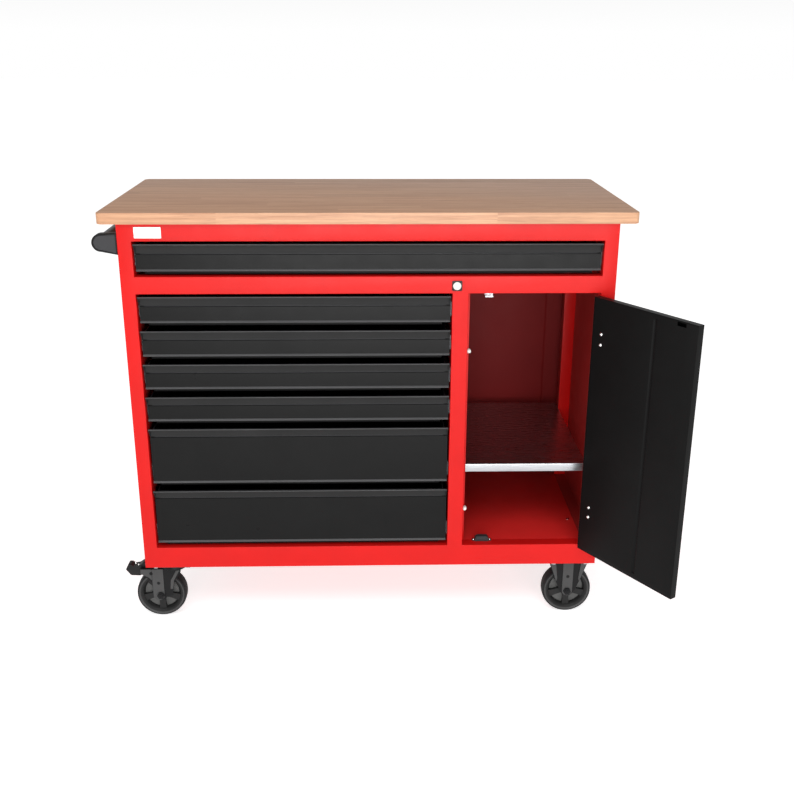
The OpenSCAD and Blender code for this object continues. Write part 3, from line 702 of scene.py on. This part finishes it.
def makeSide(name, sign):
    low, high = span(name)
    bm = bmesh.new()
    out, deep = shell["halfWide"], high.y
    skin = rounded([(out, shell["seamY"] + 0.6), (out, deep), (out - shell["tab"], deep)], 3)
    extrude(bm, sheetOutline(skin, shell["sheet"]), "z", low.z, high.z)
    for y in uprights:
        x0, x1, rear = out - shell["sheet"], shell["postIn"], y + shell["postDeep"]
        post = rounded([(x0, y), (x1, y), (x1, rear), (x0, rear)], 2.4)
        extrude(bm, sheetOutline(post, -shell["sheet"]), "z", shell["postLow"], high.z - 2)
    mirror = Matrix.Scale(-1, 4, (1, 0, 0)) if sign < 0 else Matrix.Identity(4)
    bm.transform(mirror)
    # the side faces looking into the cabinet get the darker red, painted shade
    piece = makeFixed(f"{name}_folded", bm, ["redPaint", "insideRedPaintedShade"], "red_paint", [name], 30, bevel=0.25)
    paintInsideShade(piece, Vector((-sign, 0, 0)))


uprights = (31.2, 428.0)
backRibs = ((-500, -290), (-255, -75), (-40, 165), (wallHigh.x + 22, 500))  # clear of the partition


def makeBack():
    low, high = span("back_panel")
    bm = bmesh.new()
    edge = shell["halfWide"] - shell["tab"] - 0.6
    ribs = [(a, shell["ribEnd"], b, high.z - shell["ribEnd"]) for a, b in backRibs]
    sheetPlate(bm, (-edge, low.z, edge, high.z), [(0.0, 0.0), (0.0, 0.01)],
               [(r, pressSteps(9, shell["rib"]), True) for r in ribs])
    turned = inCabinet @ Matrix.Translation((0, high.y, 0)) @ Matrix.Scale(-1, 4, (0, 1, 0))
    # the back wall's inner face gets the darkest red, painted shade
    piece = makePiece("back_panel_pressed", bm, turned, ["redPaint", "backWallRedPaintedShade"], "root", "red_paint",
                      ["back_panel"], 30, wall=shell["sheet"])
    paintInsideShade(piece, Vector((0, -1, 0)))


def makeCupboardFloor():
    _, high = span("floor_panel")
    bm = bmesh.new()
    block(bm, (cupOpen[0] + 0.2, shell["returnY"] + 0.1, cupOpen[1] - 1.2),
          (cupOpen[2] - 0.2, high.y - 2, cupOpen[1] - 0.1), 0.3)
    # the cupboard floor sheet gets the lighter red, painted light
    paintNew(bm, 0)
    lathe(bm, [(0.01, -0.2), (5, -0.2), (5, 0.8), (3.6, 2.0), (1.8, 2.6), (0.01, 2.7)],
          (514, 139, cupOpen[1]), "z", 24)
    paintNew(bm, 1)
    makeFixed("cupboard_floor_sheet", bm, ["floorRedPaintedLight", "brightScrew"], "red_paint")


def makeShelf():
    low, high = span("shelf")
    path = rounded([(low.y + 8, low.z), (low.y, low.z), (low.y, high.z), (high.y, high.z), (high.y, low.z),
                    (high.y - 8, low.z)], [0, 1.6, 2.2, 2.2, 1.6, 0])
    bm = bmesh.new()
    extrude(bm, sheetOutline(path[::-1], shell["sheet"]), "x", low.x, high.x)
    makeFixed("shelf_folded", bm, ["zincShelf"], "zinc_shelf", ["shelf"], 30)


makeFrontFrame()
makeSide("side_panel_left", -1)
makeSide("side_panel_right", 1)
makeBack()
makeCupboardFloor()
makeShelf()
print("worktop, front frame, sides, back and shelf made")

# drawer fronts, boxes and slides

front = dict(sheet=1.3, lip=5.0, lipDrop=3.0, band=25, faceIn=9, lean=0.8,
             groove=1.8, bead=2.8, beadHigh=2.4, flange=(18, 7))
boxes = dict(wall=1.0, below=2, above=5, length=470, rimHigh=7, rimOut=1.2, corner=3)
slides = dict(steel=1.2, gap=1.0, wide=12.7, outer=0.72, middle=0.68, high=35, start=24, length=444,
              aboveLow=38)


def makeDrawerFront(i):
    low, high = drawerBoxes[i]
    zl, zb = high.z, high.z - front["band"]
    y, lip, foot = front["faceIn"], low.y, low.z + front["beadHigh"]
    inner, groove, bead = lip + front["lip"], y + front["groove"], y - front["bead"]
    points = [(inner, zl - 5), (inner, zl), (lip, zl), (lip, zl - front["lipDrop"]),
              (y - front["lean"], zl - 7), (y - 0.3, zb + 2.6), (groove, zb + 1.6), (groove, zb - 0.4),
              (y, zb - 1.4), (y, foot + front["bead"]), (bead, foot), (bead, low.z), (y + 6, low.z)]
    path = rounded(points, [0, 1.4, 2.4, 1.6, 3, 0.4, 0.3, 0.3, 0.5, 0.8, 0.8, 1.2, 0])
    bm = bmesh.new()
    extrude(bm, sheetOutline(path, front["sheet"]), "x", low.x, high.x)
    cheek = [(lip + 0.6, zl - 0.8), (inner, zl - 0.8), (high.y, zb + 6), (high.y, low.z + 0.6),
             (y + 0.4, low.z + 0.6), (y + 0.6, zb), (lip + 0.6, zl - front["lipDrop"])]
    for x in (low.x + 0.2, high.x - front["sheet"] - 0.2):
        extrude(bm, cheek, "x", x, x + front["sheet"])
    for face in bm.faces:
        middle = face.calc_center_median()
        # the lip's top and the foot bead get the lighter charcoal, a painted highlight
        if middle.z > zl - 1.8 or middle.y < y - 0.4 and low.z + 0.4 < middle.z < foot + front["bead"]:
            face.material_index = 1
        # the band gets a lighter charcoal than the face, painted light
        elif middle.z > zb + 1.8 and middle.y < y + 0.4:
            face.material_index = 2
    inset, drop = front["flange"]
    block(bm, (low.x + inset, y + 4.8, low.z - drop), (high.x - inset, y + 6, low.z + 1), 0.3)
    makePiece(f"drawer_front_{i}", bm, inCabinet, ["charcoalPaint", "charcoalEdgePaintedHighlight", "charcoalBandPaintedLight"],
              f"drawer_{i}", "charcoal_paint", [f"drawer_{i}_front"], 30)


def slideMember(bm, edge, side, place, wide, high, zMid, openOut=False):  # side: +1 when its web faces left
    web, lips = (edge + side * place, edge + side * (place + wide))
    if openOut:
        web, lips = lips, web
    path = rounded([(lips, zMid + high / 2), (web, zMid + high / 2), (web, zMid - high / 2),
                    (lips, zMid - high / 2)], 2.0, 3)
    facing = side if not openOut else -side
    extrude(bm, sheetOutline(path, facing * slides["steel"]), "y", slides["start"],
            slides["start"] + slides["length"])


def slideEdges(i):  # both edges of the opening that drawer i runs in
    low, high = drawerBoxes[i]
    return (low.x - openGap["side"], 1), (high.x + openGap["side"], -1)


def makeDrawerBox(i):
    low, high = drawerBoxes[i]
    (left, _), (right, _) = slideEdges(i)
    x0, x1 = left + slides["wide"], right - slides["wide"]
    y0, z0, z1 = front["faceIn"] + 1.5, low.z + boxes["below"], high.z - boxes["above"]
    y1 = y0 + boxes["length"]
    bm = bmesh.new()
    wall = boxes["wall"]
    outline = rectangle(x0, y0, x1, y1, boxes["corner"])
    inside = rectangle(x0 + wall, y0 + wall, x1 - wall, y1 - wall, boxes["corner"] - wall)
    levels = [(outline, z0), (outline, z1), (inside, z1), (inside, z0 + wall)]
    loops = [[bm.verts.new((x, y, z)) for x, y in ring] for ring, z in levels]
    bridge(bm, loops)
    bm.faces.new(loops[0][::-1])
    bm.faces.new(loops[-1])
    rim = boxes["rimOut"]
    for a, b in (((x0 - rim, y0 + 4), (x0 + wall, y1 - 3)), ((x1 - wall, y0 + 4), (x1 + rim, y1 - 3)),
                 ((x0 + 3, y1 - wall), (x1 - 3, y1 + rim))):
        block(bm, (*a, z1 - boxes["rimHigh"]), (*b, z1 + 0.4), 0.5)
    paintNew(bm, 0)
    zMid = low.z - openGap["below"] + slides["aboveLow"]
    start = 2 * (slides["steel"] + slides["gap"])
    for edge, side in slideEdges(i):
        slideMember(bm, edge, side, start, slides["wide"] - start, slides["high"] - 2 * start, zMid, True)
    paintNew(bm, 1)
    makePiece(f"drawer_box_{i}", bm, inCabinet, ["boxPaint", "railSteel"], f"drawer_{i}", "drawer_grey",
              [f"drawer_{i}_box"], 30)


def makeSlides():
    outer = bmesh.new()
    for i in range(1, 8):
        zMid = drawerBoxes[i][0].z - openGap["below"] + slides["aboveLow"]
        middle = bmesh.new()
        step = slides["steel"] + slides["gap"]
        for edge, side in slideEdges(i):
            slideMember(outer, edge, side, 0, slides["wide"] * slides["outer"], slides["high"], zMid)
            slideMember(middle, edge, side, step, slides["wide"] * slides["middle"],
                        slides["high"] - 2 * step, zMid)
        makePiece(f"middle_rails_{i}", middle, inCabinet, ["railSteel"], f"rails_{i}", "zinc",
                  [f"drawer_{i}_middle_rails"], 30)
    makeFixed("outer_rails", outer, ["railSteel"], "zinc", ["cabinet_rails"], 30)


for i in range(1, 8):
    makeDrawerFront(i)
    makeDrawerBox(i)
makeSlides()
print("drawers and slides made")

# door

door = dict(left=229, right=526, low=57, high=693, deep=18, fold=2.2, rib=(338.8, 69, 350.8, 681),
            ribDeep=3.0, slot=(261, 681, 285, 690), sheet=1.2, screwIn=28, lap=1.3)


def makeDoor():
    bm = bmesh.new()
    left, low, right, high, lap = (door[k] for k in ("left", "low", "right", "high", "lap"))
    sheetPlate(bm, (left, low, right, high), foldSteps(door["fold"], door["deep"]), [])
    makePiece("door_outer_tray", bm, inDoor, ["doorPaint"], "door", "charcoal_paint", ["door_skin"], 30,
              wall=door["sheet"])
    bm = bmesh.new()
    sheetPlate(bm, (left + lap, low + lap, right - lap, high - lap),
               [(1.2, 0.0), (0.8, 0.1), (0.3, 0.5), (0.0, 1.2), (0.0, 4.0)],
               [(door["rib"], pressSteps(4.5, door["ribDeep"]), True),
                (door["slot"], [(0, 0), (0, 0.01)], False)])
    turned = inDoor @ Matrix.Translation((0, door["deep"], 0)) @ Matrix.Scale(-1, 4, (0, 1, 0))
    makePiece("door_inner_sheet", bm, turned, ["doorPaint"], "door", "charcoal_paint", ["door_liner"], 30,
              wall=door["sheet"])


def makeDoorScrews():
    low, high = span("door_screws")
    bm = bmesh.new()
    for z in (low.z + 4, low.z + 29, high.z - 29, high.z - 4):
        at = (door["right"] - door["screwIn"], door["deep"], z)
        lathe(bm, [(0.6, 0), (4.2, 0), (4.2, 0.7), (3.6, 1.7), (2.2, 2.5), (1.5, 2.6), (1.4, 1.9),
                   (0.6, 1.9)], at, segments=24)
        lathe(bm, tube(0.01, 0.7, -0.2, 1.7), at, segments=8)
    makePiece("door_screw_heads", bm, inDoor, ["brightScrew"], "door", "bright_screw", ["door_screws"], 40)


makeDoor()
makeDoorScrews()
print("door made")

# lock, catch, buffers, plate

lock = dict(bezel=23, bezelOut=2.0, bore=8.3)


def makeLock():
    half = lock["bezel"] / 2
    place = inCabinet @ Matrix.Translation((lockAt.x, 0, lockAt.z))
    bm = bmesh.new()
    plate = rectangle(-half, -half, half, half, 2.5)
    extrude(bm, plate, "y", -lock["bezelOut"], 0)
    rims = [e for e in bm.edges if e.verts[0].co.y < -1.9 and e.verts[1].co.y < -1.9]
    bevelEdges(bm, rims, 0.8, 3)
    cutters = bmesh.new()
    extrude(cutters, circle(0, 0, lock["bore"]), "y", -6, 30)
    lathe(bm, [(8.05, -2.15), (9.9, -2.15), (9.9, -1.6), (9.0, -1.4), (9.0, 18), (8.05, 18)])
    makePiece("lock_bezel", bm, place, ["bezelPlastic"], "root", "lock_bezel", ["lock_housing"], 35,
              cutters=cutters)
    bm = bmesh.new()
    lathe(bm, [(0.01, -3.7), (3.2, -3.7), (3.6, -3.95), (6.4, -3.95), (8.6, -3.4), (9.3, -2.6), (7.9, -2.3),
               (7.9, barLow.y - 1.5), (0.01, barLow.y - 1.5)])
    cutters = bmesh.new()
    block(cutters, (-0.8, -5, -3.0), (0.8, -2.4, 3.0))
    makePiece("lock_plug", bm, place, ["capNickel"], "lock_cylinder", "nickel_lock", ["lock_cylinder"], 40,
              cutters=cutters)


makeLock()


def makeCatchAndBuffers():
    low, high = span("magnetic_catch")
    bm = bmesh.new()
    back = [(low.x + 7, low.z), (low.x + 7, high.z - 5), (low.x + 12, high.z), (high.x - 12, high.z),
            (high.x - 7, high.z - 5), (high.x - 7, low.z)]
    extrude(bm, rounded(back, [0, 2.5, 2.5, 2.5, 2.5, 0], 4), "y", low.y + 1.2, high.y)
    block(bm, (low.x, low.y + 3, low.z), (high.x, low.y + 11, low.z + 3), 0.8)
    paintNew(bm, 0)
    block(bm, (low.x + 11, low.y + 0.2, low.z + 1.5), (high.x - 11, low.y + 1.3, high.z - 4), 0.4)
    for k in range(6):
        x = low.x + 13 + k * (high.x - low.x - 28) / 5
        block(bm, (x, low.y - 0.3, low.z + 3), (x + 1.6, low.y + 0.4, high.z - 5.5), 0.2)
    paintNew(bm, 1)
    for x in (low.x + 3.6, high.x - 3.6):
        lathe(bm, [(0.01, 0), (2.6, 0), (2.2, 1.0), (1.2, 1.5), (0.01, 1.6)],
              (x, low.y + 7, low.z + 3), "z", 20)
    paintNew(bm, 2)
    makeFixed("catch_body", bm, ["catchPlastic", "bracketFace", "brightScrew"], "catch_plastic",
              ["magnetic_catch"], 35)
    low, high = span("door_buffers")
    bm = bmesh.new()
    for z in (low.z + 5, high.z - 5):
        lathe(bm, [(0.01, low.y), (2.6, low.y), (4.2, low.y + 1.2), (5, low.y + 3.4), (5, high.y),
                   (0.01, high.y)], ((low.x + high.x) / 2, 0, z), segments=32)
    makeFixed("door_buffer_pads", bm, ["whiteBuffer"], "white_buffer", ["door_buffers"], 40)


label = dict(x=-521, z=822.5, wide=60, high=25, out=1.0)


def makeLabel():
    bm = bmesh.new()
    x, z = label["x"], label["z"]
    extrude(bm, rectangle(x, z, x + label["wide"], z + label["high"], 1.5), "y", -label["out"], 0.05)
    makeFixed("name_plate_blank", bm, ["whiteBuffer"], "white_buffer", bevel=0.25)


makeCatchAndBuffers()
makeLabel()
print("lock, catch, buffers and plate made")

# handle

handle = dict(round=20, thick=24, edge=1.6, rim=4.4, sunk=0.8, tube=15, wall=2)


def makeHandle():
    low, high = span("handle_brackets")
    reach, side = low.x, high.x
    centre = low.z + 27
    x = reach + handle["round"]
    outline = [(side, centre + 21)] + arc(x, centre, handle["round"], 90, 180, 20) + [(side, centre - 27)]
    bm = bmesh.new()
    for y0, outward in ((low.y, -1), (high.y - handle["thick"], 1)):
        y1 = y0 + handle["thick"]
        shown, hidden = (y0, y1) if outward < 0 else (y1, y0)
        inward = -outward
        mid = Vector((x + 12, centre))

        def ring(margin, y):
            out = []
            for a, b in outline:
                away = Vector((a, b)) - mid
                scale = 1 - margin / max(away.length, 1)
                keep = mid + away * scale
                out.append(bm.verts.new((min(keep.x, side), y, keep.y)))
            return out

        e, rim, sunk = handle["edge"], handle["rim"], handle["sunk"]
        loops = [ring(e, hidden), ring(0, hidden + outward * e), ring(0, shown + inward * e),
                 ring(e * 0.4, shown + inward * e * 0.3), ring(e, shown), ring(rim, shown),
                 ring(rim + 0.5, shown + inward * sunk)]
        bridge(bm, loops)
        bm.faces.new(loops[0])
        paintNew(bm, 0)
        bm.faces.new(loops[-1])
        paintNew(bm, 1)
    makeFixed("handle_end_brackets", bm, ["handlePlastic", "bracketFace"], "handle_plastic",
              ["handle_brackets"], 40)
    low, high = span("handle_bar")
    bm = bmesh.new()
    middle = ((low.x + high.x) / 2, 0, (low.z + high.z) / 2)
    lathe(bm, tube(handle["tube"] - handle["wall"], handle["tube"], low.y, high.y), middle, segments=64)
    makeFixed("handle_tube_round", bm, ["tubeGrey"], "handle_tube", ["handle_bar"], 40)


makeHandle()
print("handle made")

# casters

caster = dict(legIn=20.5, leg=2.5, proud=4.0, axle=6, nut=9.6, wheel=62.5, plate=4, high=155, crown=134)
wheel = dict(rim=53.5, half=15, web=2.2, hubHalf=19.5, bore=6.05, spokes=5, first=18)
pedal = dict(x=-68, z=128.5, half=12)  # its pivot beside the swivel line, and half its width
padOutline = rectangle(-52.5, -42.5, 52.5, 42.5, 8)  # a caster's top plate


def floorPlace(joint):  # millimetres above the floor, about a joint's upright line
    spot = joints[joint]["pos_m"]
    return Matrix.Translation((spot[0], spot[1], 0)) @ Matrix.Scale(0.001, 4)


def makeTyre(corner):
    place = floorPlace(f"wheel_{corner}_spin") @ Matrix.Translation((0, 0, caster["wheel"]))
    rim, h = wheel["rim"], wheel["half"]
    outer = rounded([(rim, -h), (57.4, -17.3), (60.2, -17.6), (62.3, -9), (62.5, 0), (62.3, 9),
                     (60.2, 17.6), (57.4, 17.3), (rim, h)], [0, 0.3, 2.2, 6, 6, 6, 2.2, 0.3, 0])
    bm = bmesh.new()
    lathe(bm, outer, segments=112)
    for face in bm.faces:
        middle = face.calc_center_median()
        if math.hypot(middle.x, middle.z) < 57 and abs(middle.y) > 15.2:  # the side bands near the rim, painted grey as a highlight line
            face.material_index = 1
    makePiece(f"tyre_round_{corner}", bm, place, ["tyreRubber", "wheelGreyPaintedHighlight"], f"wheel_{corner}",
              "tyre_rubber", [f"tyre_{corner}"], 50)


def makeWheelCore(corner):
    place = floorPlace(f"wheel_{corner}_spin") @ Matrix.Translation((0, 0, caster["wheel"]))
    spoke = bmesh.new()
    body = [(10, -8.5), (30, -6.5), (49, -11), (49, 11), (30, 6.5), (10, 8.5)]
    rings = [[spoke.verts.new((x, y, z)) for x, z in body] for y in (-11, 11)]
    bridge(spoke, rings)
    spoke.faces.new(rings[0])
    spoke.faces.new(rings[1][::-1])
    bevelEdges(spoke, list(spoke.edges), 1.0)
    spokes = repeated(spoke, "spokes", "wheelDark", Count=wheel["spokes"],
                      **{"First Angle": math.radians(wheel["first"])})
    ring = bmesh.new()
    rim, h = wheel["rim"], wheel["half"]
    lathe(ring, rounded([(rim, -h), (50.5, -h), (47, -h + 3), (43, -6), (43, 6), (47, h - 3), (50.5, h),
                         (rim, h)], [0, 0.8, 1.5, 2, 2, 1.5, 0.8, 0]), segments=96)
    paintNew(ring, 2)
    bore, hub = wheel["bore"], wheel["hubHalf"]
    lathe(ring, [(bore, -hub), (11, -hub), (13, -hub + 2), (14.5, -8), (14.5, 8), (13, hub - 2), (11, hub),
                 (bore, hub)], segments=64)
    paintNew(ring, 2)
    # the web between the spokes gets the paler plastic, painted light on the lit pockets
    lathe(ring, tube(13, 44, -wheel["web"], wheel["web"]), segments=64)
    paintNew(ring, 1)
    bmesh.ops.recalc_face_normals(ring, faces=ring.faces)
    disc = addObject("ring", meshOf("ring", ring))
    for mat in ("wheelGreyPaintedHighlight", "wheelPalePaintedLight", "wheelDark"):
        disc.data.materials.append(mats[mat])
    join(f"wheel_disc_{corner}", [(disc, (0, 0, 0)), (spokes, (0, 0, 0))], place, f"wheel_{corner}",
         [f"wheel_core_{corner}"], 40)


def legOutline(left, right, top, edges):  # edges: (left, right) half widths at mid height and at the axle
    (midLeft, midRight), (endLeft, endRight) = edges
    zMid, zAxle = 98, caster["wheel"]
    return [(left, top), (left, top - 9), (-midLeft, zMid), (-endLeft, zAxle),
            *arc(0, zAxle, 15, 200, 140, 10),
            (endRight, zAxle), (midRight, zMid), (right, top - 9), (right, top)]


def forkLegs(bm, xMid, left, right, top, edges, strip, plates, rivets, eyes):
    axle = caster["wheel"]
    for side in (-1, 1):
        near, far = side * caster["legIn"], side * (caster["legIn"] + caster["leg"])
        proud = side * (caster["legIn"] + caster["proud"])
        outline = [(xMid + a, b) for a, b in legOutline(left, right, top, edges)]
        extrude(bm, rounded(outline, 2.0, 2, closed=True), "y", near, far)
        paintNew(bm, 0)
        half, mid = (strip[1] - strip[0]) / 2, xMid + (strip[0] + strip[1]) / 2
        band = [(mid - half, top - 1), (mid - half, axle), *arc(mid, axle, half, 180, 180, 12)[1:-1],
                (mid + half, axle), (mid + half, top - 1)]
        extrude(bm, band, "y", far - side * 0.5, proud)
        for plate in plates:
            patch = rounded([(xMid + a, b) for a, b in plate], 1.2, 2, closed=True)
            extrude(bm, patch, "y", far - side * 0.5, proud - side * 0.2)
        # the black leg plates and the lighter grey strip and patches are partly the fork's own finishes and
        # partly painted shade and light, for shaded recessed channels beside a lit strip
        paintNew(bm, 1)
        for x, z in eyes:
            lathe(bm, tube(0.01, 4.2, far, proud + side * 0.1), (xMid + x, 0, z), segments=24)
        nut = [(xMid + a, b) for a, b in hexagon(0, axle, caster["nut"])]
        extrude(bm, nut, "y", proud, proud + side * 4.6)
        lathe(bm, [(0.01, proud), (5.6, proud), (5.6, proud + side * 5.2), (4.8, proud + side * 6),
                   (0.01, proud + side * 6)], (xMid, 0, axle), segments=24)
        paintNew(bm, 0)
        for x, z in rivets:
            lathe(bm, [(0.01, far), (4.2, far), (4.2, proud + side * 0.6), (3.2, proud + side * 1.5),
                       (0.01, proud + side * 1.6)], (xMid + x, 0, z), segments=24)
        paintNew(bm, 0)
    y = caster["legIn"] + 1
    lathe(bm, tube(0.01, caster["axle"], -y, y), (xMid, 0, axle))
    paintNew(bm, 2)


forkFinishes = ["casterBlack", "casterSteel", "zincPlate"]


def makeSwivelFork(end):
    place = floorPlace(f"caster_{end}_swivel")
    bm = bmesh.new()
    y = caster["legIn"] + caster["leg"]
    crown = caster["crown"]
    for a, b in ((-83, -12), (-9, 13)):
        block(bm, (a, -y, crown), (b, y, crown + 3), 1.0)
    lathe(bm, [(6.05, crown), (30, crown), (34, crown + 3), (34, crown + 8), (31, crown + 12),
               (6.05, crown + 12)], axis="z", segments=64)
    paintNew(bm, 0)
    high = crown + 2
    rib = [(25, 80), (27, 104), (44, high), (52, high), (35, 104), (31, 80)]
    side = [(-47, high), (-20, high), (-20, 104), (-27, 113), (-47, 123)]
    forkLegs(bm, -35, -48, 53, crown + 3, [(21, 34), (19, 30)], (-19, 9), [rib, side], [(-21, 124)],
             [(-4, 97)])
    lathe(bm, tube(0.01, 3, -21, 21), (pedal["x"], 0, pedal["z"]), segments=24)
    paintNew(bm, 2)
    makePiece(f"fork_swivel_{end}", bm, place, forkFinishes, f"caster_{end}", "caster_black",
              [f"swivel_fork_{end}"], 40)


def makeRigidForks():
    bm = bmesh.new()
    base = floorPlace("wheel_right_front_spin")
    far = (floorPlace("wheel_right_rear_spin").translation - base.translation).y * 1000
    y = caster["legIn"] + caster["leg"]
    one = bmesh.new()
    top = caster["high"] - caster["plate"]
    extrude(one, padOutline, "z", top, caster["high"])
    block(one, (-30, -y, top - 10), (30, y, top + 0.2), 1.5)
    paintNew(one, 0)
    gusset = [(33, top - 1), (47, top - 1), (47, top - 8), (33, 102), (29, 88), (27, 100)]
    forkLegs(one, 0, -48, 48, top, [(33, 33), (19, 19)], (-13, 13),
             [gusset, [(-a, b) for a, b in gusset[::-1]]], [], [(0, 104)])
    for dy in (0, far):
        copy = one.copy()
        copy.transform(Matrix.Translation((0, dy, 0)))
        bm.from_mesh(meshOf("fork", copy))
    one.free()
    makePiece("forks_rigid", bm, base, forkFinishes, "root", "caster_black", ["rigid_forks"], 40)


def makeSwivelPlates():
    bm = bmesh.new()
    base = floorPlace("caster_front_swivel")
    far = (floorPlace("caster_rear_swivel").translation - base.translation).y * 1000
    top = caster["high"]
    for y in (0, far):
        extrude(bm, [(a, b + y) for a, b in padOutline], "z", top - caster["plate"], top)
        lathe(bm, [(0.01, top - 8), (27, top - 8), (30, top - 6), (31, top - 3.9), (0.01, top - 3.9)],
              (0, y, 0), "z", 64)
        lathe(bm, [(0.01, 126), (8, 126), (10, 127.5), (10, 129), (6, 129), (6, top - 3.9),
                   (0.01, top - 3.9)], (0, y, 0), "z", 48)
    makePiece("plates_swivel", bm, base, ["casterSteel"], "root", "caster_steel", ["swivel_plates"], 40)


bolts = dict(long=80, wide=60, head=7.5, headHigh=5.3, nutHigh=6.5, channel=3)


def makeBolts():
    bm = bmesh.new()
    head = hexagon(0, 0, bolts["head"])
    low = -caster["plate"] - bolts["headHigh"]
    extrude(bm, head, "z", low, -caster["plate"] - 1)
    extrude(bm, head, "z", bolts["channel"] + 1, bolts["channel"] + bolts["nutHigh"])
    bevelEdges(bm, list(bm.edges), 0.5)
    for z0, z1 in ((-caster["plate"] - 1.1, -caster["plate"]), (bolts["channel"], bolts["channel"] + 1.1)):
        lathe(bm, tube(4.2, 8.2, z0, z1), axis="z", segments=32)
    lathe(bm, [(0.01, low + 1), (4, low + 1), (4, 11.4), (3.4, 12), (0.01, 12)], axis="z", segments=24)
    item = repeated(bm, "grid", "zincPlate",
                    **{"Size X": float(bolts["long"]), "Size Y": float(bolts["wide"])})
    places = [floorPlace(f"caster_{end}_swivel") for end in ("front", "rear")]
    places += [floorPlace(f"wheel_right_{end}_spin") for end in ("front", "rear")]
    base = places[0].translation
    parts = [(item, ((p.translation - base) * 1000)[:]) for p in places]
    join("bolt_sets", parts, Matrix.Translation(base) @ Matrix.Scale(0.001, 4)
         @ Matrix.Translation((0, 0, caster["high"])), "root", ["caster_bolts"], 40)


def makePedal(end):
    place = floorPlace(f"caster_{end}_swivel")
    px, pz, half = pedal["x"], pedal["z"], pedal["half"]
    outline = [(px + a, pz + b) for a, b in ((6, -5), (6, 18), (-9, 19), (-20, 11), (-32, 9), (-38, 14),
                                             (-46, 15), (-53.5, 1), (-41, -15), (-18, -16))]
    bm = bmesh.new()
    extrude(bm, rounded(outline, [1, 2, 3, 4, 3, 2, 3, 3, 4, 4], 3, closed=True), "y", -half, half)
    lathe(bm, tube(3.05, 7, -half - 0.3, half + 0.3), (px, 0, pz), segments=32)
    ends = [(e, e.verts[0].co.y, e.verts[1].co.y) for e in bm.edges]
    rims = [e for e, a, b in ends if abs(abs(a) - half) < 0.1 and abs(a - b) < 0.01]
    bevelEdges(bm, rims, 1.2)
    paintNew(bm, 0)
    for y in (-4.5, 4.5):
        lathe(bm, [(0.01, pz + 8), (2.7, pz + 8), (2.7, pz + 12.2), (1.7, pz + 13.4), (0.01, pz + 13.6)],
              (px - 26 - y, y, 0), "z", 20)
    paintNew(bm, 1)
    makePiece(f"pedal_lever_{end}", bm, place, ["pedalPlastic", "brightScrew"], f"pedal_{end}",
              "pedal_plastic", [f"brake_pedal_{end}"], 40)


for corner in ("left_front", "left_rear", "right_front", "right_rear"):
    makeTyre(corner)
    makeWheelCore(corner)
for end in ("front", "rear"):
    makeSwivelFork(end)
    makePedal(end)
makeRigidForks()
makeSwivelPlates()
makeBolts()
print("casters made")

# CAD pieces that keep their shape

keptFinishes = {
    # the floor and partition panels take the darker inside red, painted shade
    "floor_panel": "insideRedPaintedShade", "partition_panel": "insideRedPaintedShade", "base_channels": "channelPaint",
    "shelf_clips": "zincPlate", "hinge_frame_leaves": "zincPlate", "hinge_door_leaves": "zincPlate",
    "hinge_pins": "steelPin", "lock_cylinder": "nickelLock", "lock_bar": "zincPlate",
    "worktop": "beech", "front_frame": "redPaint",
}

for name, part in frame["nodes"].items():
    part.data.materials.clear()
    part.data.materials.append(mats[keptFinishes.get(name, "zincPlate")])

# camera, floor and light

view = dict(place=(0.3, -2269.7, 1256.7), down=19.586, across=1.567, roll=0.204, lens=46.512)


def makeCamera():
    data = bpy.data.cameras.new("camera")
    data.lens = view["lens"]
    data.sensor_width = 36
    data.clip_end = 50
    camera = addObject("camera", data)
    down, across, roll = (math.radians(view[k]) for k in ("down", "across", "roll"))
    turn = (Matrix.Rotation(-across, 4, "Z") @ Matrix.Rotation(math.pi / 2 - down, 4, "X")
            @ Matrix.Rotation(roll, 4, "Z"))
    camera.matrix_world = Matrix.Translation(inCabinet @ Vector(view["place"])) @ turn
    scene.camera = camera


makeCamera()

studio = dict(floor=(0.96, 0.96, 0.96), glow=0.6, horizon=1.0, middle=0.52, zenith=0.45)
lamps = {
    "key": dict(place=(-0.3, -1.9, 2.7), size=(3.0, 1.2), power=34, aim=(0, 0, 0.8)),
    "front": dict(place=(0.2, -3.6, 0.9), size=(2.6, 1.2), power=72, aim=(0, 0, 0.9)),
}


def makeWorld():
    world = bpy.data.worlds.new("studio")
    world.use_nodes = True
    tree = world.node_tree
    split = tree.nodes.new("ShaderNodeSeparateXYZ")
    tree.links.new(tree.nodes.new("ShaderNodeTexCoord").outputs["Generated"], split.inputs[0])
    sky = ramp(tree, split.outputs["Z"], [(0.0, studio["horizon"]), (0.35, studio["middle"]),
                                          (0.8, studio["zenith"])])
    tree.links.new(sky, tree.nodes["Background"].inputs[0])
    scene.world = world


def makeFloor():
    bm = bmesh.new()
    bmesh.ops.create_grid(bm, x_segments=1, y_segments=1, size=30)
    floor = addObject("floor", meshOf("floor", bm))
    mat, _, shader, _ = newMaterial("floorPale")
    shader.inputs["Base Color"].default_value = (*studio["floor"], 1)
    shader.inputs["Roughness"].default_value = 0.9
    shader.inputs["Emission Color"].default_value = (1, 1, 1, 1)
    shader.inputs["Emission Strength"].default_value = studio["glow"]
    floor.data.materials.append(mat)


def makeLamp(name, place, size, power, aim):
    data = bpy.data.lights.new(name, "AREA")
    data.shape = "RECTANGLE"
    data.size, data.size_y = size
    data.energy = power
    lamp = addObject(name, data)
    lamp.location = place
    lamp.rotation_euler = (Vector(aim) - Vector(place)).to_track_quat("-Z", "Y").to_euler()


makeWorld()
makeFloor()
for name, settings in lamps.items():
    makeLamp(name, **settings)
scene.view_settings.view_transform = "Standard"
scene.view_settings.look = "None"
print("camera, floor and light made")
